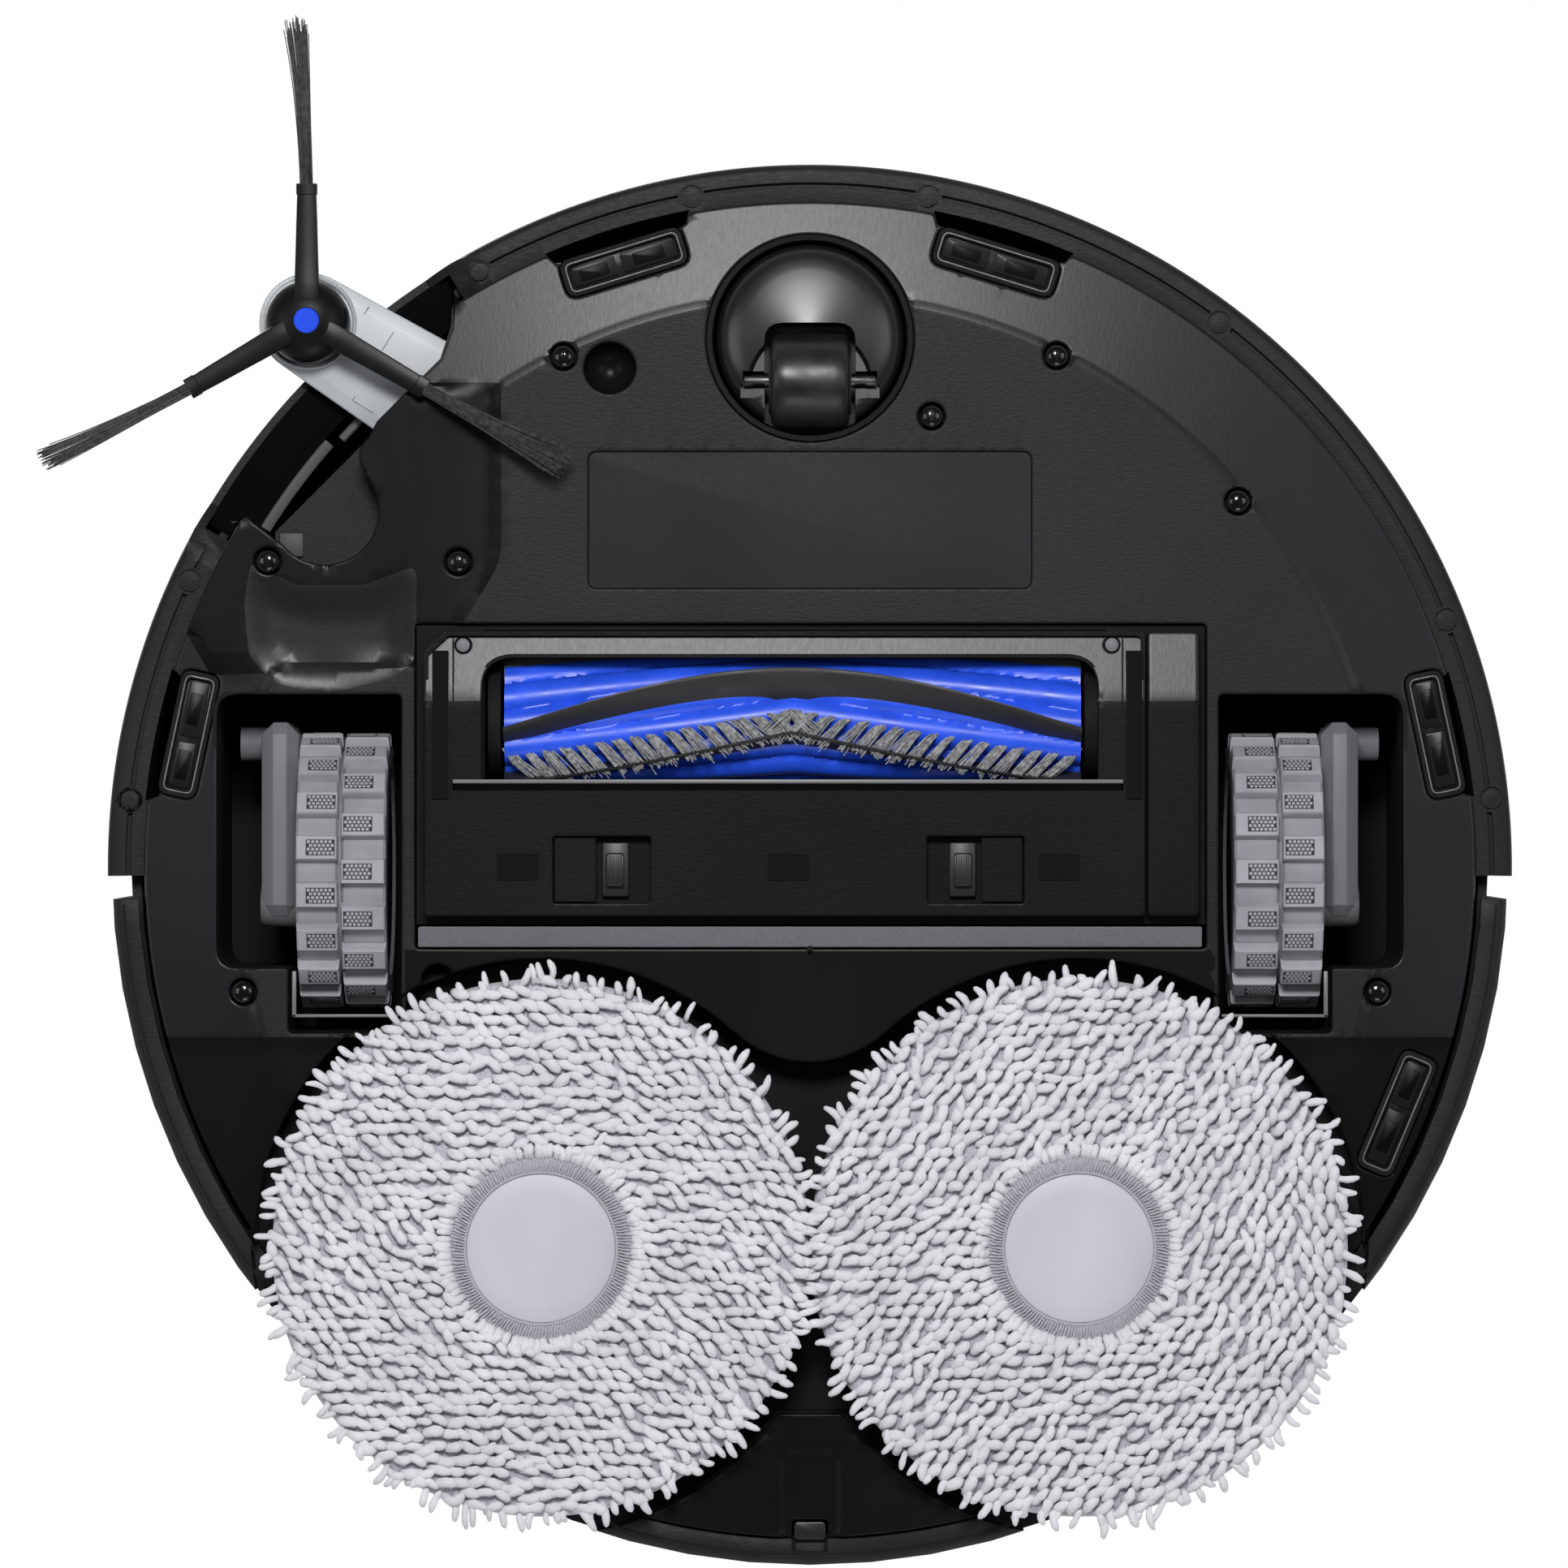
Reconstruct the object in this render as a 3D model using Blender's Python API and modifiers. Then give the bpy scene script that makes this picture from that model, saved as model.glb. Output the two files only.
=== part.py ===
"""Robot vacuum with a roller brush, an extending side brush and two spinning mop pads.

Metres, +Z up. The robot stands on the plane z = 0 and its front faces -Y, so its own right side is -X.
All places below are measured from the axis of the round body. The empty robot_centre carries the
body axis, set so that the origin is the middle of the base of the whole model's bounding box.
"""

import math

import bmesh
import bpy
from mathutils import Matrix, Vector

# ---- driving dimensions -----------------------------------------------------------------------
BODY_X, BODY_Y = 0.0087, 0.0186      # body axis, from the middle of the base of the bounding box
GAP = 0.0003                         # clearance between neighbouring pieces
SIDES = (("right", -1), ("left", 1))
BIG_STEPS = 72                       # facets round the body

BODY_R = 0.1752                      # rear shell and deck rim
BUMPER_R = 0.1764
BUMPER_IN_R = 0.1742
BUMPER_END_Y = 0.0024
TUB_R, TUB_IN_R = 0.1708, 0.1683     # wall behind the bumper
DECK_Z, DECK_T = 0.0865, 0.0025
RIM_Z = 0.0820                       # underside of the deck rim, just above the bumper
SKIRT_Z, SKIRT_IN_R = 0.0150, 0.1686 # lowest edge of the rear skirt, and its inner side
SKIRT_FRONT_Y = 0.0080               # where the skirt starts behind the bumper

PAN_R, PAN_FLAT_R = 0.1668, 0.1424
PAN_Z, PAN_EDGE_Z, PAN_T = 0.0100, 0.0140, 0.0028

WHEEL_R, WHEEL_X, WHEEL_Y, WHEEL_W = 0.0348, 0.1172, 0.0010, 0.0216
WHEEL_RIM_R, AXLE_R = 0.0262, 0.0040
LUGS, LUG_DEPTH = 18, 0.0030
ARM_PIVOT_Y, ARM_PIVOT_Z = -0.0310, 0.0380
WELL_IN_X, WELL_OUT_X, WELL_STEP_X = 0.1022, 0.1485, 0.1306
WELL_FRONT_Y, WELL_REAR_Y, WELL_TAIL_Y = -0.0433, 0.0253, 0.0416

CASTER_Y, CASTER_R, CASTER_HOLE_R = -0.1324, 0.0236, 0.0261
CASTER_WHEEL_Y, CASTER_WHEEL_R, CASTER_WHEEL_W = -0.1218, 0.0118, 0.0206

BRUSH_Y, BRUSH_Z, BRUSH_R = -0.0371, 0.0225, 0.0210
BRUSH_X0, BRUSH_X1, BRUSH_MID_X = -0.0770, 0.0683, -0.0045
BRUSH_FINS = 6
HOLE_X0, HOLE_X1, HOLE_Y0, HOLE_Y1 = -0.0988, 0.0992, -0.0609, 0.0146
COVER_X0, COVER_X1, COVER_Y0, COVER_Y1 = -0.0964, 0.0837, -0.0591, 0.0122
COVER_Z, COVER_T, COVER_RIM_Z = 0.0056, 0.0020, 0.0118
MOUTH_X0, MOUTH_X1, MOUTH_Y0, MOUTH_Y1 = -0.0819, 0.0719, -0.0524, -0.0218
DUCT_X, DUCT_Y, DUCT_W, DUCT_D = -0.0045, -0.0371, 0.0500, 0.0200

SWING_X, SWING_Y = -0.0935, -0.1165  # pivot of the side-brush arm
HUB_X, HUB_Y, HUB_R = -0.1257, -0.1365, 0.0106
SWING_Z, SWING_T, SWING_END_R = 0.0175, 0.0060, 0.0127
BRISTLE_R, TUFT_X0, TUFT_DROOP_X = 0.0760, 0.0343, 0.0480

MOP_X, MOP_Y, MOP_R, MOP_T = 0.0671, 0.0950, 0.0665, 0.0090
BAY_R, BAY_NOSE_Y, BAY_REAR_Y, BAY_ROOF_Z = 0.0720, 0.0488, 0.1366, 0.0246

LIDAR_Y, LIDAR_R, LIDAR_TOP_Z = 0.0780, 0.0400, 0.1020
COVER_PLATE_Z, COVER_PLATE_TOP_Z = 0.0868, 0.0903
BUTTON_Y, BUTTON_R = 0.0290, 0.0060

CLIFF_PLACES = ((-0.0466, -0.1515), (0.0466, -0.1515), (-0.1556, -0.0332),
                (0.1566, -0.0332), (0.1471, 0.0617))
CLIFF_L, CLIFF_W = 0.0294, 0.0073
SCREW_PLACES = ((-0.0617, -0.1277), (0.0617, -0.1279), (0.0304, -0.1128), (0.1071, -0.0915),
                (-0.1357, -0.0766), (-0.0880, -0.0764), (-0.1418, 0.0312), (0.1420, 0.0312))
LABEL_Y, LABEL_W, LABEL_D = -0.0868, 0.1116, 0.0350

# ---- scene, collections and materials ---------------------------------------------------------
for old in list(bpy.data.objects):
    bpy.data.objects.remove(old, do_unlink=True)

PARTS = bpy.data.collections.new("robot_vacuum")
CUTTERS = bpy.data.collections.new("cutters")
bpy.context.scene.collection.children.link(PARTS)
bpy.context.scene.collection.children.link(CUTTERS)

CENTRE = bpy.data.objects.new("robot_centre", None)
CENTRE.location = (BODY_X, BODY_Y, 0)
PARTS.objects.link(CENTRE)

FINISHES = {
    "black_shell": ((0.030, 0.030, 0.032), 0.50, 0.0),
    "black_gloss": ((0.012, 0.012, 0.013), 0.12, 0.0),
    "grey_plastic": ((0.30, 0.31, 0.33), 0.45, 0.0),
    "arm_grey": ((0.44, 0.46, 0.49), 0.42, 0.0),
    "blue_rubber": ((0.03, 0.09, 0.62), 0.40, 0.0),
    "black_rubber": ((0.020, 0.020, 0.021), 0.65, 0.0),
    "tyre_grey": ((0.13, 0.13, 0.14), 0.75, 0.0),
    "strip_grey": ((0.17, 0.165, 0.185), 0.60, 0.0),
    "bristle": ((0.022, 0.022, 0.022), 0.70, 0.0),
    "mop_cloth": ((0.74, 0.73, 0.78), 0.95, 0.0),
    "mop_plastic": ((0.60, 0.58, 0.66), 0.45, 0.0),
    "clear_smoke": ((0.05, 0.05, 0.055), 0.08, 0.0),
    "steel": ((0.55, 0.55, 0.56), 0.30, 1.0),
}


def material(slot):
    made = bpy.data.materials.get(slot)
    if made:
        return made
    colour, rough, metal = FINISHES[slot]
    made = bpy.data.materials.new(slot)
    made.use_nodes = True
    shader = made.node_tree.nodes["Principled BSDF"]
    shader.inputs["Base Color"].default_value = (*colour, 1)
    shader.inputs["Roughness"].default_value = rough
    shader.inputs["Metallic"].default_value = metal
    return made


# ---- modelling helpers --------------------------------------------------------------------------
def new_object(name, mesh, collection=CUTTERS):
    made = bpy.data.objects.new(name, mesh)
    collection.objects.link(made)
    made.parent = CENTRE
    if collection is CUTTERS:
        made.hide_render = True
        made.display_type = "WIRE"
    return made


def evaluated_mesh(obj):
    """The object's mesh with its modifiers applied and its loose caps welded."""
    graph = bpy.context.evaluated_depsgraph_get()
    mesh = bpy.data.meshes.new_from_object(obj.evaluated_get(graph))
    shape = bmesh.new()
    shape.from_mesh(mesh)
    bmesh.ops.remove_doubles(shape, verts=shape.verts, dist=1e-6)
    bmesh.ops.recalc_face_normals(shape, faces=shape.faces)
    shape.to_mesh(mesh)
    shape.free()
    return mesh


def fixed(obj):
    """The same object with its modifiers turned into mesh."""
    bpy.context.view_layer.update()
    mesh = evaluated_mesh(obj)
    obj.modifiers.clear()
    obj.data = mesh
    return obj


def part(obj, name, slot, origin=(0, 0, 0)):
    """Names a finished shape as a sub-part and puts its origin at a point of the robot's frame."""
    if obj.modifiers:
        fixed(obj)
    CUTTERS.objects.unlink(obj)
    PARTS.objects.link(obj)
    obj.hide_render = False
    obj.display_type = "TEXTURED"
    obj.name = name
    mesh = obj.data
    mesh.name = name
    mesh.transform(Matrix.Translation(Vector(obj.location) - Vector(origin)))
    obj.location = origin
    mesh.materials.clear()
    mesh.materials.append(material(slot))
    mesh.shade_smooth()
    mesh.set_sharp_from_angle(angle=math.radians(35))
    return obj


def box(name, x, y, z, bevel=0.0, segments=1):
    """A box between the pairs x, y and z, with its edges rounded by bevel."""
    shape = bmesh.new()
    bmesh.ops.create_cube(shape, size=1.0)
    size = [b - a for a, b in (x, y, z)]
    middle = [(a + b) / 2 for a, b in (x, y, z)]
    bmesh.ops.scale(shape, vec=size, verts=shape.verts)
    bmesh.ops.translate(shape, vec=middle, verts=shape.verts)
    mesh = bpy.data.meshes.new(name)
    shape.to_mesh(mesh)
    shape.free()
    made = new_object(name, mesh)
    if bevel:
        rounding = made.modifiers.new("rounding", "BEVEL")
        rounding.width = bevel
        rounding.segments = segments
        fixed(made)
    return made


def cylinder(name, radius, along, centre=(0, 0), axis="Z", segments=24):
    """A cylinder along Z through centre (x, y), or along X through centre (y, z)."""
    shape = bmesh.new()
    length = along[1] - along[0]
    bmesh.ops.create_cone(shape, cap_ends=True, segments=segments, radius1=radius,
                          radius2=radius, depth=length)
    bmesh.ops.translate(shape, vec=(0, 0, (along[0] + along[1]) / 2), verts=shape.verts)
    mesh = bpy.data.meshes.new(name)
    shape.to_mesh(mesh)
    shape.free()
    if axis == "X":
        mesh.transform(Matrix.Rotation(math.pi / 2, 4, "Y"))
        mesh.transform(Matrix.Translation((0, centre[0], centre[1])))
    else:
        mesh.transform(Matrix.Translation((centre[0], centre[1], 0)))
    return new_object(name, mesh)


def turned(name, profile, centre=(0, 0), axis="Z", steps=32, closed=True):
    """A solid of revolution. The profile holds (radius, height), running down its outer side."""
    mesh = bpy.data.meshes.new(name)
    edges = [(i, i + 1) for i in range(len(profile) - 1)]
    if closed:
        edges.append((len(profile) - 1, 0))
    mesh.from_pydata([(r, 0, h) for r, h in profile], edges, [])
    made = new_object(name, mesh)
    screw = made.modifiers.new("turn", "SCREW")
    screw.steps = screw.render_steps = steps
    screw.use_merge_vertices = True
    screw.merge_threshold = 0.00001
    fixed(made)
    if axis == "X":
        made.data.transform(Matrix.Rotation(math.pi / 2, 4, "Y"))
        made.data.transform(Matrix.Translation((0, centre[0], centre[1])))
    else:
        made.data.transform(Matrix.Translation((centre[0], centre[1], 0)))
    return made


def slab(name, outline, z):
    """A flat outline filled and extruded between the two heights z."""
    curve = bpy.data.curves.new(name, "CURVE")
    curve.dimensions = "2D"
    curve.fill_mode = "BOTH"
    curve.extrude = (z[1] - z[0]) / 2
    line = curve.splines.new("POLY")
    line.points.add(len(outline) - 1)
    for point, (x, y) in zip(line.points, outline):
        point.co = (x, y, 0, 1)
    line.use_cyclic_u = True
    guide = bpy.data.objects.new(name, curve)
    CUTTERS.objects.link(guide)
    bpy.context.view_layer.update()
    mesh = evaluated_mesh(guide)
    mesh.transform(Matrix.Translation((0, 0, (z[0] + z[1]) / 2)))
    bpy.data.objects.remove(guide)
    return new_object(name, mesh)


def boolean(target, operation, others):
    """Cuts or joins the target with the other solids, which are then used up."""
    for other in others:
        step = target.modifiers.new(operation.lower(), "BOOLEAN")
        step.operation = operation
        step.solver = "EXACT"
        step.object = other
    fixed(target)
    for other in others:
        bpy.data.objects.remove(other)
    return target


def cut(target, *others):
    return boolean(target, "DIFFERENCE", others)


def join(target, *others):
    return boolean(target, "UNION", others)


def arc(centre, radius, start, end, count):
    """Points on an arc, from start to end in degrees."""
    turns = [math.radians(start + (end - start) * i / (count - 1)) for i in range(count)]
    return [(centre[0] + radius * math.cos(t), centre[1] + radius * math.sin(t)) for t in turns]


def pan_z(x, y):
    """Height of the underside of the pan, which is flat and then slopes up to its edge."""
    out = max(0.0, math.hypot(x, y) - PAN_FLAT_R) / (PAN_R - PAN_FLAT_R)
    return PAN_Z + out * (PAN_EDGE_Z - PAN_Z)


# ---- outlines shared by neighbouring pieces ---------------------------------------------------
def well_outline(side):
    outline = [(side * x, y) for x, y in (
        (WELL_IN_X, WELL_FRONT_Y), (WELL_OUT_X - 0.005, WELL_FRONT_Y),
        (WELL_OUT_X, WELL_FRONT_Y + 0.005), (WELL_OUT_X, WELL_REAR_Y - 0.005),
        (WELL_OUT_X - 0.005, WELL_REAR_Y), (WELL_STEP_X, WELL_REAR_Y),
        (WELL_STEP_X, WELL_TAIL_Y), (WELL_IN_X, WELL_TAIL_Y))]
    return outline


def bay_outline(grow=0.0):
    """The two mop circles, with a round fairing nose in front and a flat end behind."""
    radius = BAY_R + grow
    reach = MOP_Y - BAY_NOSE_Y
    nose_r = (reach ** 2 + MOP_X ** 2 - BAY_R ** 2) / (2 * (BAY_R - reach))
    nose_y = BAY_NOSE_Y - nose_r
    lean = math.degrees(math.atan2(MOP_Y - nose_y, MOP_X))
    rear = math.degrees(math.asin((BAY_REAR_Y + grow - MOP_Y) / radius))
    left = arc((-MOP_X, MOP_Y), radius, rear, 360 - lean, 30)
    nose = arc((0, nose_y), nose_r - grow, 180 - lean, lean, 9)
    right = arc((MOP_X, MOP_Y), radius, 180 + lean, 540 - rear, 30)
    return left + nose[1:-1] + right


def pocket_outline():
    """Room in the pan for the hub of the side brush, from its working place to its parked one."""
    parked = arc((-0.1215, -0.0892), 0.0135, -50, 140, 13)
    return [(-0.0893, -0.1450), (-0.0899, -0.1355), (-0.0926, -0.1273), (-0.1008, -0.1192),
            (-0.1084, -0.1116), *parked, (-0.1411, -0.0876),
            (-0.1445, -0.0860), (-0.1490, -0.0765), (-0.1700, -0.0850), (-0.1650, -0.1500),
            (-0.1100, -0.1700)]


# ---- chassis and casing -------------------------------------------------------------------------
def chassis_pan():
    profile = [(0, PAN_Z + PAN_T), (PAN_FLAT_R, PAN_Z + PAN_T), (PAN_R, PAN_EDGE_Z + PAN_T),
               (PAN_R, PAN_EDGE_Z), (PAN_FLAT_R, PAN_Z), (0, PAN_Z)]
    pan = turned("pan", profile, steps=BIG_STEPS, closed=False)
    through = (0.002, 0.030)
    cutters = [slab("bay", bay_outline(), through), slab("pocket", pocket_outline(), through)]
    cutters += [slab("well", well_outline(side), through) for _, side in SIDES]
    cutters.append(box("rear", (-MOP_X, MOP_X), (BAY_REAR_Y - 0.010, BODY_R), through))
    cutters.append(box("mouth", (HOLE_X0, HOLE_X1), (HOLE_Y0, HOLE_Y1), through))
    cutters.append(box("strip", (-0.0984, 0.0984), (HOLE_Y1 - 0.001, 0.0204), through))
    cutters.append(cylinder("socket", CASTER_HOLE_R, through, (0, CASTER_Y), segments=48))
    cutters.append(cylinder("port", 0.0065, through, (-0.0501, -0.1249)))
    cutters.append(box("label", (-LABEL_W / 2, LABEL_W / 2),
                       (LABEL_Y - LABEL_D / 2, LABEL_Y + LABEL_D / 2), (0.002, PAN_Z + 0.0008)))
    for x, y in SCREW_PLACES:
        z = pan_z(x, y)
        cutters.append(turned("screw_hole", [
            (0, z + 0.005), (0.0017, z + 0.005), (0.0017, z + 0.0012), (0.0034, z + 0.0012),
            (0.0034, z - 0.004), (0, z - 0.004)], (x, y), steps=12, closed=False))
    for x, y in CLIFF_PLACES:
        cutters.append(cliff_box(x, y, GAP, through))
    return part(cut(pan, *cutters), "chassis_pan", "black_shell")


def cliff_box(x, y, grow, z):
    """A window or its pocket, lying along the rim."""
    half_l, half_w = CLIFF_L / 2 + grow, CLIFF_W / 2 + grow
    made = box("cliff", (-half_l, half_l), (-half_w, half_w), z)
    made.data.transform(Matrix.Rotation(math.atan2(y, x) + math.pi / 2, 4, "Z"))
    made.data.transform(Matrix.Translation((x, y, 0)))
    return made


def cliff_windows():
    for i, (x, y) in enumerate(CLIFF_PLACES):
        z = pan_z(x, y)
        part(cliff_box(x, y, 0, (z, z + 0.003)), f"cliff_window_{i + 1}", "clear_smoke")


def pan_screws():
    for i, (x, y) in enumerate(SCREW_PLACES):
        z = pan_z(x, y)
        screw = turned("screw", [(0, z + 0.009), (0.0013, z + 0.009), (0.0013, z + 0.0009),
                                 (0.0031, z + 0.0009), (0.0028, z + 0.0001), (0.0016, z - 0.0006),
                                 (0, z - 0.0008)], (x, y), steps=12, closed=False)
        part(screw, f"pan_screw_{i + 1}", "black_gloss")


def label_plate():
    edge = 0.0003
    plate = box("label", (-LABEL_W / 2 + edge, LABEL_W / 2 - edge),
                (LABEL_Y - LABEL_D / 2 + edge, LABEL_Y + LABEL_D / 2 - edge),
                (PAN_Z + 0.0001, PAN_Z + 0.0005))
    part(plate, "label_plate", "black_shell")


def rear_panel():
    """The part of the underside between the mops and the rear rim."""
    outline = arc((0, 0), PAN_R + 0.0012, 61, 119, 13)
    panel = slab("rear", outline + [(0, 0.10)], (PAN_EDGE_Z - 0.001, PAN_EDGE_Z + 0.0018))
    cut(panel, slab("bay", bay_outline(GAP), (0, 0.03)))
    cut(panel, box("channel", (-0.0074, 0.0074), (0.146, 0.1640), (0.012, 0.0140)))
    part(panel, "rear_panel", "black_shell")


def body_deck():
    """Top of the body under the lid, open over the dust box and round the button."""
    low = DECK_Z - DECK_T
    deck = turned("deck", [
        (0, DECK_Z), (BODY_R - 0.001, DECK_Z), (BODY_R, DECK_Z - 0.001), (BODY_R, RIM_Z),
        (TUB_R + GAP, RIM_Z), (TUB_R + GAP, low), (0, low)], steps=BIG_STEPS, closed=False)
    cut(deck,
        box("dust_door", (-0.0815, 0.0815), (-0.0715, 0.0235), (0.07, 0.1)),
        cylinder("button", BUTTON_R + GAP, (0.07, 0.1), (0, BUTTON_Y)))
    part(deck, "body_deck", "black_shell")


def body_wall():
    """Wall behind the bumper, and with it the skirt that closes the rear half of the body."""
    tub_top = DECK_Z - DECK_T - GAP
    tub = turned("tub", [(TUB_R, tub_top), (TUB_R, BAY_ROOF_Z), (TUB_IN_R, BAY_ROOF_Z),
                         (TUB_IN_R, tub_top)], steps=BIG_STEPS)
    skirt_top = RIM_Z - GAP
    skirt = turned("skirt", [
        (BODY_R, skirt_top), (BODY_R, SKIRT_Z + 0.002), (BODY_R - 0.0017, SKIRT_Z),
        (SKIRT_IN_R, SKIRT_Z), (SKIRT_IN_R, SKIRT_Z + 0.0025), (TUB_R - GAP, SKIRT_Z + 0.0025),
        (TUB_R - GAP, skirt_top)], steps=BIG_STEPS)
    cut(skirt, box("front", (-0.2, 0.2), (-0.2, SKIRT_FRONT_Y), (0, 0.1)),
        slab("bay", bay_outline(0.001), (0, BAY_ROOF_Z)))
    wall = join(tub, skirt)
    cut(wall, box("refill", (-0.0045, 0.0045), (0.1665, 0.1725), (0.01, 0.0165), 0.001))
    part(wall, "body_wall", "black_shell")


def mop_bay():
    """Roof and side walls over the two mops, with a hole for each mop shaft."""
    disc = cylinder("disc", TUB_IN_R - GAP, (0.0178, 0.0270), segments=BIG_STEPS)
    bay = boolean(disc, "INTERSECT", [slab("outer", bay_outline(0.002), (0.0178, 0.0271))])
    cut(bay, slab("room", bay_outline(), (0, BAY_ROOF_Z)))
    for _, side in SIDES:
        wheel_x = sorted((side * (WELL_IN_X - 0.001), side * (WELL_STEP_X + 0.001)))
        cut(bay, cylinder("shaft", 0.0092, (0, 0.05), (side * MOP_X, MOP_Y)),
            box("wheel", wheel_x, (0, WELL_TAIL_Y), (0, 0.05)))
    part(bay, "mop_bay", "black_shell")


def bumper_shell():
    shell = turned("bumper", [
        (BUMPER_IN_R + 0.0006, 0.0815), (BUMPER_R, 0.0797), (BUMPER_R, 0.0185),
        (BUMPER_R - 0.001, 0.0172), (0.1650, 0.0172), (0.1650, 0.0190),
        (BUMPER_IN_R, 0.0190), (BUMPER_IN_R, 0.0810)], steps=BIG_STEPS)
    cut(shell, box("rear", (-0.2, 0.2), (BUMPER_END_Y, 0.2), (0, 0.1)))
    window = slab("slot", arc((0, 0), 0.160, -149.5, -122.5, 7) + arc((0, 0), 0.185, -122.5, -149.5, 7),
                  (0.010, 0.0246))
    cut(shell, window)
    part(shell, "bumper_shell", "black_shell")


def top_cover():
    plate = turned("cover", [
        (0, COVER_PLATE_TOP_Z), (BODY_R - 0.003, COVER_PLATE_TOP_Z),
        (BODY_R - 0.001, COVER_PLATE_TOP_Z - 0.0015), (BODY_R - 0.001, COVER_PLATE_Z),
        (0, COVER_PLATE_Z)], steps=BIG_STEPS, closed=False)
    cut(plate, cylinder("turret", LIDAR_R + 0.0012, (0.05, 0.12), (0, LIDAR_Y), segments=48),
        cylinder("button", BUTTON_R + GAP, (0.05, 0.12), (0, BUTTON_Y)))
    part(plate, "top_cover", "black_shell", (0, 0, COVER_PLATE_Z))


def lidar_turret():
    part(turned("window", [(0.0392, 0.0982), (0.0392, 0.0868), (0.0370, 0.0868), (0.0370, 0.0982)],
                (0, LIDAR_Y), steps=40), "lidar_window", "clear_smoke")
    cap = turned("cap", [(0, LIDAR_TOP_Z), (LIDAR_R - 0.002, LIDAR_TOP_Z),
                         (LIDAR_R, LIDAR_TOP_Z - 0.0015), (LIDAR_R, 0.0985), (0, 0.0985)],
                 (0, LIDAR_Y), steps=40, closed=False)
    part(cap, "lidar_cap", "black_gloss")
    rotor = turned("rotor", [(0, 0.0970), (0.027, 0.0970), (0.030, 0.0940), (0.030, 0.0872),
                             (0, 0.0872)], (0, LIDAR_Y), steps=24, closed=False)
    cut(rotor, box("eye", (-0.020, 0.020), (LIDAR_Y - 0.040, LIDAR_Y - 0.0225), (0.0885, 0.0950)))
    part(rotor, "lidar_rotor", "black_gloss", (0, LIDAR_Y, 0.0872))


def power_button():
    knob = turned("knob", [(0, 0.0913), (BUTTON_R - 0.0008, 0.0913), (BUTTON_R, 0.0906),
                           (BUTTON_R, 0.0800), (0, 0.0800)], (0, BUTTON_Y), steps=20, closed=False)
    part(knob, "power_button", "grey_plastic", (0, BUTTON_Y, 0.0913))


# ---- inside the casing --------------------------------------------------------------------------
def battery_pack():
    part(box("cells", (-0.052, 0.052), (-0.1035, -0.0655), (0.0135, 0.0520), 0.003),
         "battery_pack", "black_rubber")


def fan_unit():
    fan = turned("fan", [(0, 0.0700), (0.012, 0.0700), (0.012, 0.0720), (0.026, 0.0720),
                         (0.027, 0.0700), (0.027, 0.0480), (0.020, 0.0440), (0.020, 0.0320),
                         (0, 0.0320)], (0, 0.0580), steps=24, closed=False)
    part(fan, "fan_unit", "black_gloss")


def water_tank():
    part(box("tank", (-0.052, 0.052), (0.1235, 0.1540), (0.0450, 0.0815), 0.004),
         "water_tank", "clear_smoke")


def dust_box():
    wall = 0.002
    tray = box("tray", (-0.080, 0.080), (-0.070, 0.022), (0.0507, 0.0800), 0.003)
    cut(tray,
        box("room", (-0.080 + wall, 0.080 - wall), (-0.070 + wall, 0.022 - wall), (0.0527, 0.09)),
        box("inlet", (DUCT_X - DUCT_W / 2, DUCT_X + DUCT_W / 2),
            (DUCT_Y - DUCT_D / 2, DUCT_Y + DUCT_D / 2), (0.04, 0.06)))
    part(tray, "dust_box", "clear_smoke")
    part(box("lid", (-0.080, 0.080), (-0.070, 0.022), (0.0803, 0.0850), 0.0012),
         "dust_box_lid", "black_gloss")
    part(box("filter", (-0.060, 0.060), (0.0100, 0.0190), (0.0560, 0.0780)),
         "dust_filter", "mop_cloth")


def brush_housing():
    """Suction head: the roller's chamber with a duct up to the dust box."""
    x, y = (HOLE_X0 + GAP, HOLE_X1 - GAP), (HOLE_Y0 + GAP, HOLE_Y1 - GAP)
    duct = {"x": (DUCT_X - DUCT_W / 2, DUCT_X + DUCT_W / 2),
            "y": (DUCT_Y - DUCT_D / 2, DUCT_Y + DUCT_D / 2)}
    wall = 0.0015
    head = box("head", x, y, (0.0124, 0.0470))
    chimney = box("chimney", (duct["x"][0] - wall, duct["x"][1] + wall),
                  (duct["y"][0] - wall, duct["y"][1] + wall), (0.0460, 0.0503))
    join(head, chimney)
    cut(head,
        box("chamber", (-0.0815, 0.0742), (-0.0594, -0.0140), (0.0, 0.0455)),
        box("duct", duct["x"], duct["y"], (0.04, 0.06)))
    part(head, "brush_housing", "black_shell")
    part(box("end", (COVER_X1 + 0.0004, 0.0974), (COVER_Y0, COVER_Y1), (COVER_Z, 0.0121), 0.0008),
         "brush_gearbox", "black_shell")


def wiper_strip():
    part(box("strip", (-0.0980, 0.0980), (0.0149, 0.0200), (0.0084, 0.0118), 0.0006),
         "wiper_strip", "strip_grey")


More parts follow.
